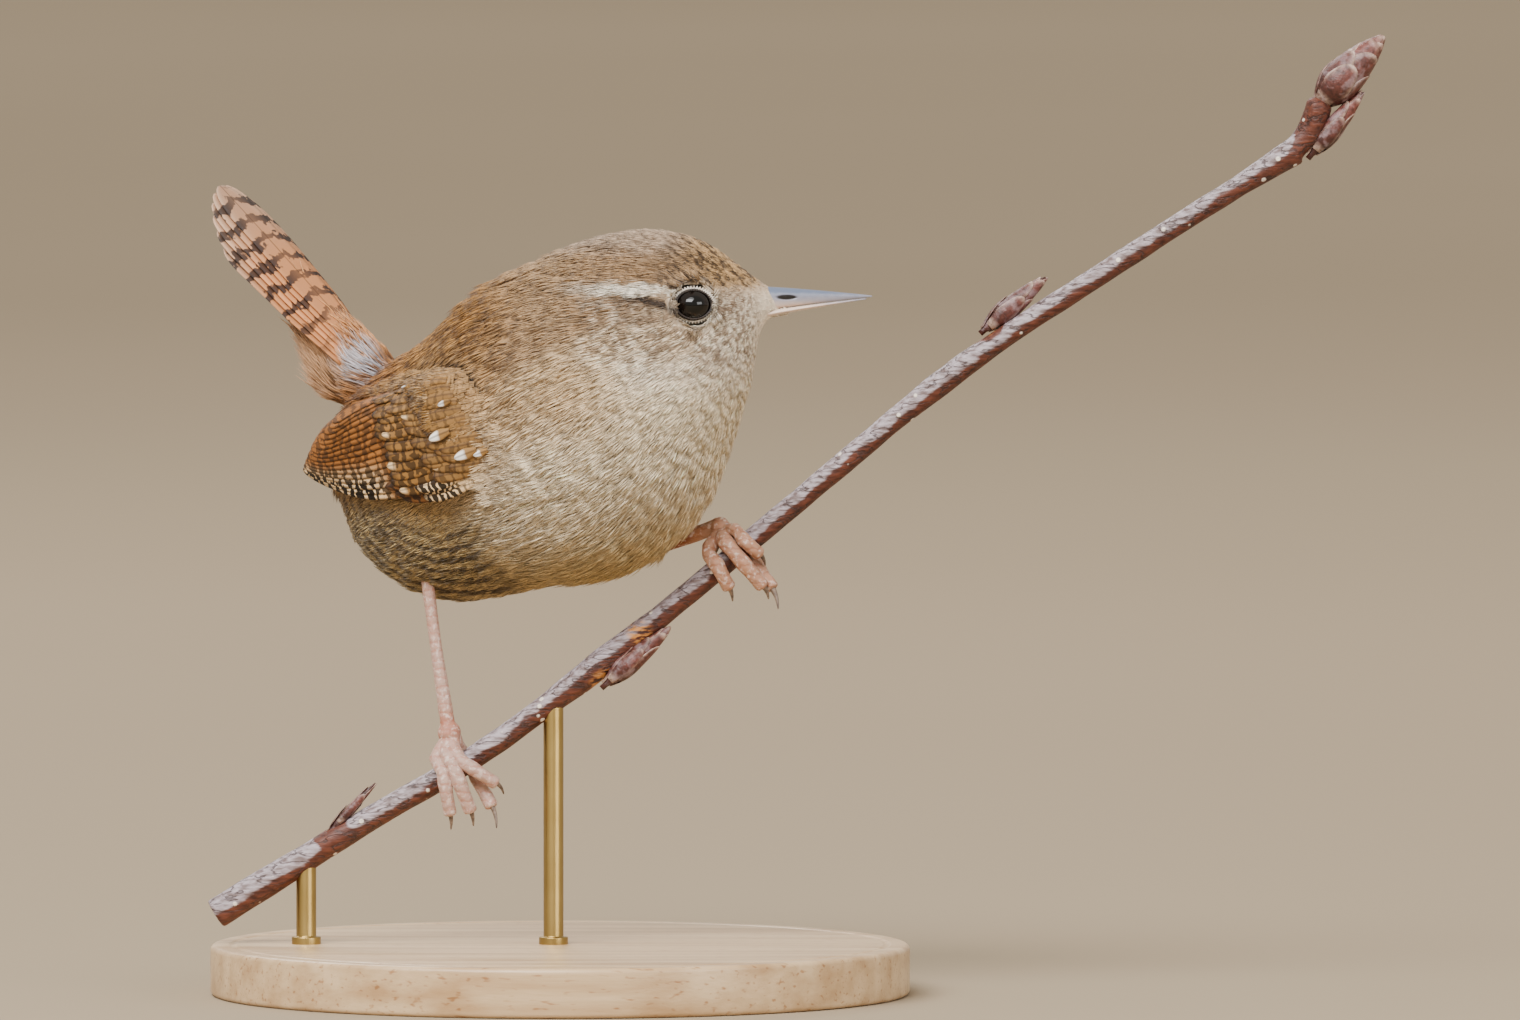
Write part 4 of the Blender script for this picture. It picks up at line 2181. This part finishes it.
@dataclass
class Perch:
    """The cut twig with its bark, knots and scaly buds."""

    buds: tuple[Bud, ...] = (
        Bud("low", (-27.6, -0.4, 19.6), (-22.0, -0.3, 25.6), 0.6, 5),
        Bud("under", (5.6, -1.2, 37.4), (13.4, -1.1, 44.3), 1.35, 11),
        Bud("middle", (51.0, 0.0, 79.9), (58.5, 0.4, 86.3), 1.4, 10),
        Bud("side", (90.2, -0.2, 101.0), (96.4, -0.4, 108.6), 1.35, 10),
        Bud("end", (91.0, 0.0, 107.0), (98.9, 0.0, 115.2), 2.7, 16))
    spiral: float = math.radians(137.5)
    scale_body: int = 0x7C453D
    scale_deep: int = 0x4A211A
    scale_rim: int = 0xD9BFAE
    scars: tuple[tuple[float, float, float, float], ...] = (
        (5.6, -0.8, 37.3, 2.6), (9.5, -1.0, 43.5, 1.9), (51.4, 0, 79.8, 1.6))
    route: tuple[tuple[float, float, float], ...] = (
        (-41.4, 0.6, 9.6), (-24.7, 0.2, 19.9), (-8.2, 0, 29.9), (7.4, 0, 41.7), (24.0, 0, 55.4),
        (46.2, -0.4, 73.9), (59.4, -0.8, 83.0), (74.4, -0.6, 92.7), (88.2, 0, 101.3), (91.2, 0, 107.4))
    radius: float = 1.42
    spur_swell: float = 0.6
    ripple: float = 0.035
    seed: int = 3

    def build_twig(self) -> bpy.types.Object:
        """Makes the bark-covered twig.

        Returns:
            The twig.
        """
        twig = rounded_copy(["perch_twig"], 0.24, 8, 0.08)
        settle(twig, "twig")
        points, normals = mesh_points(twig), mesh_normals(twig)
        along = points @ unit(np.array([0.8, 0, 0.6]))
        rng = np.random.default_rng(self.seed)
        ripple = sum(
            rng.uniform(0.4, 1)
            * np.sin(along / scale + 3 * normals @ unit(rng.normal(0, 1, 3)) + rng.uniform(0, 6))
            for scale in (0.9, 1.7, 3.1, 5.3)) * self.ripple
        spur = self.spur_swell * smooth(89.3, 90.6, points[:, 0]) * smooth(100.5, 102.5, points[:, 2])
        move_points(twig, points + normals * (ripple + spur)[:, None])
        route = np.array(self.route)
        middle = np.stack([points[:, 0], np.interp(points[:, 0], route[:, 0], route[:, 1]),
                           np.interp(points[:, 0], route[:, 0], route[:, 2])], 1)
        above = (points - middle) @ unit(np.array([-0.6, -0.2, 0.8])) / self.radius
        greyed = smooth(-0.5, 0.9, above) * smooth(89.0, 87.0, points[:, 0])
        for bud in self.buds:
            greyed *= smooth(1.5, 3.5, np.linalg.norm(points - np.array(bud.root), axis=1))
        point_values(twig, "Weathered", greyed)
        scarred = np.zeros(len(points))
        for x, y, z, reach in self.scars:
            away = np.linalg.norm(points - np.array([x, y, z]), axis=1)
            scarred = np.maximum(scarred, smooth(reach, reach * 0.4, away))
        point_values(twig, "Scarred", scarred)
        finish_piece(twig, Bark().make("twig_bark"))
        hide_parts("perch_twig")
        return twig

    def build_bud(self, bud: Bud, material: bpy.types.Material) -> bpy.types.Object:
        """Wraps a heart in overlapping pointed scales, set round it in a spiral from the root to the tip.

        Args:
            bud: the bud's sizes.
            material: the bud-scale finish.

        Returns:
            The scaly bud.
        """
        rng = np.random.default_rng(len(bud.name))
        root, tip = np.array(bud.root), np.array(bud.tip)
        length = float(np.linalg.norm(tip - root))
        axis = (tip - root) / length
        side = unit(np.cross(axis, [0, 1.0, 0]))
        over = np.cross(side, axis)

        def girth(t: float) -> float:
            """Gives the radius of the heart at a share of the length."""
            rise = math.sin(min(1.0, max(0.0, t) / 0.35) * math.pi / 2)
            return bud.radius * (0.26 + 0.66 * rise) * max(0.0, 1 - min(1.0, max(0.0, t)) ** 2.2) ** 0.8

        def scale(number: int) -> Vane:
            """Lays one scale round the heart.

            Args:
                number: the scale's number.

            Returns:
                The scale.
            """
            share = number / (bud.scales - 1)
            centre = number * self.spiral + rng.normal(0, 0.12)
            start = -0.03 + 0.42 * share
            end = min(0.99, start + 0.46 + 0.1 * rng.random() + 0.12 * share)
            half = max(0.3, girth(start + 0.1)) * 1.25

            def place(s: float, w: float) -> tuple[Array, Array]:
                """Puts a place on the scale onto the bud.

                Args:
                    s: shares of the feather's length.
                    w: millimetres across from its shaft.

                Returns:
                    The place and its outward direction.
                """
                t = start + (end - start) * s
                radius = girth(t) + 0.14 * (1 - share) + 0.05
                angle = centre + w / max(radius, 0.35)
                outward = math.cos(angle) * side + math.sin(angle) * over
                flare = 0.10 * s ** 3
                return root + axis * (t * length) + outward * (radius + flare), outward

            def ground(s: Array, c: Array) -> Array:
                """Colours the scale, with papery edges and a pale root on the lowest.

                Args:
                    s: shares of the feather's length.
                    c: shares of its half width, from -1 to 1.

                Returns:
                    One linear colour for each place.
                """
                body = blend(self.scale_deep, self.scale_body, smooth(0.1, 0.8, s) * rng.uniform(0.5, 1.0))
                edge = np.maximum(smooth(0.72, 0.95, np.abs(c)) * smooth(0.2, 0.6, s), smooth(0.88, 0.98, s))
                edge = np.maximum(edge * rng.uniform(0.4, 0.95), 0.7 * (number < 4) * smooth(0.2, 0.04, s))
                return blend(body, self.scale_rim, edge)

            return Vane(place, length * (end - start), half, ground, unbarred, camber=0.05, thick=0.10,
                        blunt=0.25, rows=14, columns=10)

        scales = join_vanes(f"bud_{bud.name}", [scale(number) for number in range(bud.scales)], rng, 0)
        turn = np.linspace(0, 2 * np.pi, 20, endpoint=False)
        rings = [[root + axis * (t * length) + max(0.05, girth(t)) * (math.cos(a) * side + math.sin(a) * over)
                  for a in turn] for t in np.linspace(-0.08, 0.97, 16)]
        points, faces = loft(np.array(rings))
        heart = mesh_piece("bud_heart", points, faces)
        point_colours(heart, "Ground", rgb(self.scale_deep))
        activate(scales)
        heart.select_set(True)
        bpy.ops.object.join()
        finish_piece(scales, material)
        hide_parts(f"perch_bud_{bud.name}")
        return scales

    def build(self) -> list[bpy.types.Object]:
        """Makes the twig and its five buds."""
        material = BudScale().make("bud_scales")
        return [self.build_twig()] + [self.build_bud(bud, material) for bud in self.buds]


@dataclass
class Stand:
    """The turned base and the two rods that carry the twig."""

    radius: float = 42.0
    height: float = 6.0
    edge: float = 0.9
    rods: tuple[str, ...] = ("stand_rod_1", "stand_rod_2")

    def build_base(self) -> bpy.types.Object:
        """Turns the base from a disc with rounded edges and a fine groove round its top.

        Returns:
            The base.
        """
        deselect()
        bpy.ops.mesh.primitive_cylinder_add(vertices=160, radius=self.radius * MM, depth=self.height * MM,
                                            location=(0, 0, self.height / 2 * MM))
        base = bpy.context.object
        settle(base, "base")
        bpy.ops.object.mode_set(mode="EDIT")
        bpy.ops.mesh.select_mode(type="FACE")
        bpy.ops.mesh.select_all(action="DESELECT")
        bpy.ops.object.mode_set(mode="OBJECT")
        for face in base.data.polygons:
            face.select = face.normal.z > 0.9
        bpy.ops.object.mode_set(mode="EDIT")
        bpy.ops.mesh.inset(thickness=2.2 * MM)
        bpy.ops.mesh.inset(thickness=0.5 * MM, depth=-0.35 * MM)
        bpy.ops.mesh.inset(thickness=0.5 * MM, depth=0.35 * MM)
        bpy.ops.object.mode_set(mode="OBJECT")
        bevel = base.modifiers.new("edge", "BEVEL")
        bevel.width = self.edge * MM
        bevel.segments = 4
        bevel.limit_method = "ANGLE"
        bevel.angle_limit = math.radians(60)
        apply_modifiers(base)
        bpy.ops.object.shade_smooth_by_angle(angle=math.radians(25))
        finish_piece(base, TurnedBeech().make("turned_beech"))
        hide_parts("stand_base")
        return base

    def build_rod(self, node: str, material: bpy.types.Material) -> bpy.types.Object:
        """Makes one rod, let into the base below and the twig above, with a small collar at its foot.

        Args:
            node: the CAD rod's name.
            material: its finish.

        Returns:
            The rod.
        """
        low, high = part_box(node)
        centre = (low + high) / 2
        radius = (high.x - low.x) / 2
        foot, top = self.height * MM - 1.5 * MM, high.z + 0.6 * MM
        deselect()
        bpy.ops.mesh.primitive_cylinder_add(vertices=48, radius=radius, depth=top - foot,
                                            location=(centre.x, centre.y, (top + foot) / 2))
        rod = bpy.context.object
        settle(rod, node.replace("stand_", "brass_"))
        bpy.ops.object.mode_set(mode="EDIT")
        bpy.ops.mesh.select_all(action="SELECT")
        bpy.ops.mesh.bisect(plane_co=(0, 0, self.height * MM + 0.9 * MM), plane_no=(0, 0, 1))
        bpy.ops.mesh.select_mode(type="FACE")
        bpy.ops.object.mode_set(mode="OBJECT")
        for face in rod.data.polygons:
            face.select = abs(face.normal.z) < 0.1 and face.center.z < self.height * MM + 0.9 * MM
        bpy.ops.object.mode_set(mode="EDIT")
        bpy.ops.mesh.extrude_region_shrink_fatten(TRANSFORM_OT_shrink_fatten={"value": 0.55 * MM})
        bpy.ops.object.mode_set(mode="OBJECT")
        bevel = rod.modifiers.new("edge", "BEVEL")
        bevel.width = 0.12 * MM
        bevel.segments = 3
        bevel.limit_method = "ANGLE"
        apply_modifiers(rod)
        bpy.ops.object.shade_smooth_by_angle(angle=math.radians(35))
        finish_piece(rod, material)
        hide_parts(node)
        return rod

    def build(self) -> list[bpy.types.Object]:
        """Makes the base and its rods."""
        brass = DrawnBrass().make("drawn_brass")
        return [self.build_base()] + [self.build_rod(node, brass) for node in self.rods]


# Studio


@dataclass
class Studio:
    """Floor, lights and camera."""

    distance: float = 3.0
    elevation: float = math.radians(3)
    aim: tuple[float, float, float] = (0.024, 0.0, 0.0582)
    frame_width: float = 0.1824
    sensor: float = 36.0

    def build_floor(self) -> bpy.types.Object:
        """Lays the wide paper floor that also fills the background.

        Returns:
            The floor.
        """
        deselect()
        bpy.ops.mesh.primitive_grid_add(x_subdivisions=40, y_subdivisions=40, size=60, location=(0, 0, 0))
        floor = bpy.context.object
        settle(floor, "floor")
        points = mesh_points(floor)
        far = np.maximum(0, np.linalg.norm(points[:, :2], axis=1) / 1000 - 20)
        points[:, 2] -= 0.02
        points[:, 2] += far ** 2 * 6
        move_points(floor, points)
        floor.data.materials.append(Backdrop().make("studio_paper"))
        return floor

    def build_camera(self) -> bpy.types.Object:
        """Sets a long lens level with the perch, as in the photograph.

        Returns:
            The camera.
        """
        data = bpy.data.cameras.new("camera")
        data.sensor_width = self.sensor
        data.lens = self.sensor * self.distance / self.frame_width
        data.clip_start = 0.05
        data.clip_end = 200
        camera = bpy.data.objects.new("camera", data)
        bpy.context.collection.objects.link(camera)
        away = Vector((0, -math.cos(self.elevation), math.sin(self.elevation)))
        camera.location = Vector(self.aim) + away * self.distance
        camera.rotation_euler = (-away).to_track_quat("-Z", "Y").to_euler()
        bpy.context.scene.camera = camera
        return camera

    def build_lights(self) -> None:
        """Hangs a large soft key above and to the left, a broad sun with it, weak fills and a pale sky."""
        for name, kind, place, size, power in (
                ("window", "AREA", (-0.5, -0.9, 0.95), 1.1, 25.0),
                ("fill", "AREA", (1.0, -1.0, 0.5), 0.9, 8.0),
                ("rim", "AREA", (-0.4, 1.0, 0.9), 0.6, 6.0),
                ("day", "SUN", (-0.3, -0.8, 1.1), 0.7, 1.75)):
            data = bpy.data.lights.new(name, kind)
            data.energy = power
            if kind == "SUN":
                data.angle = size
            else:
                data.shape = "RECTANGLE"
                data.size = size
                data.size_y = size / 2
            light = bpy.data.objects.new(name, data)
            light.location = place
            light.rotation_euler = (Vector(self.aim) - Vector(place)).to_track_quat("-Z", "Y").to_euler()
            light.visible_camera = False
            bpy.context.collection.objects.link(light)
        world = bpy.data.worlds.new("sky")
        world.use_nodes = True
        sky = world.node_tree.nodes["Background"]
        sky.inputs[0].default_value = linear(0xDED6CA)
        sky.inputs[1].default_value = 0.95
        bpy.context.scene.world = world

    def build(self) -> None:
        """Sets the whole studio."""
        self.build_floor()
        self.build_camera()
        self.build_lights()


def main() -> None:
    """Builds the studio, the bird, the perch and the stand in turn."""
    logging.basicConfig(level=logging.INFO, format="%(name)s %(message)s")
    Studio().build()
    WING_BED.measure()
    skin = Skin()
    skin.build()
    Coat(skin).build(Plumage().make("body_feather_barbs"))
    Wing(-1).build()
    Wing(1).build()
    Tail().build()
    Bill().build()
    for side in ("right", "left"):
        Eye(side).build()
        Leg(side).build()
    Perch().build()
    Stand().build()


if __name__ == "__main__":
    main()
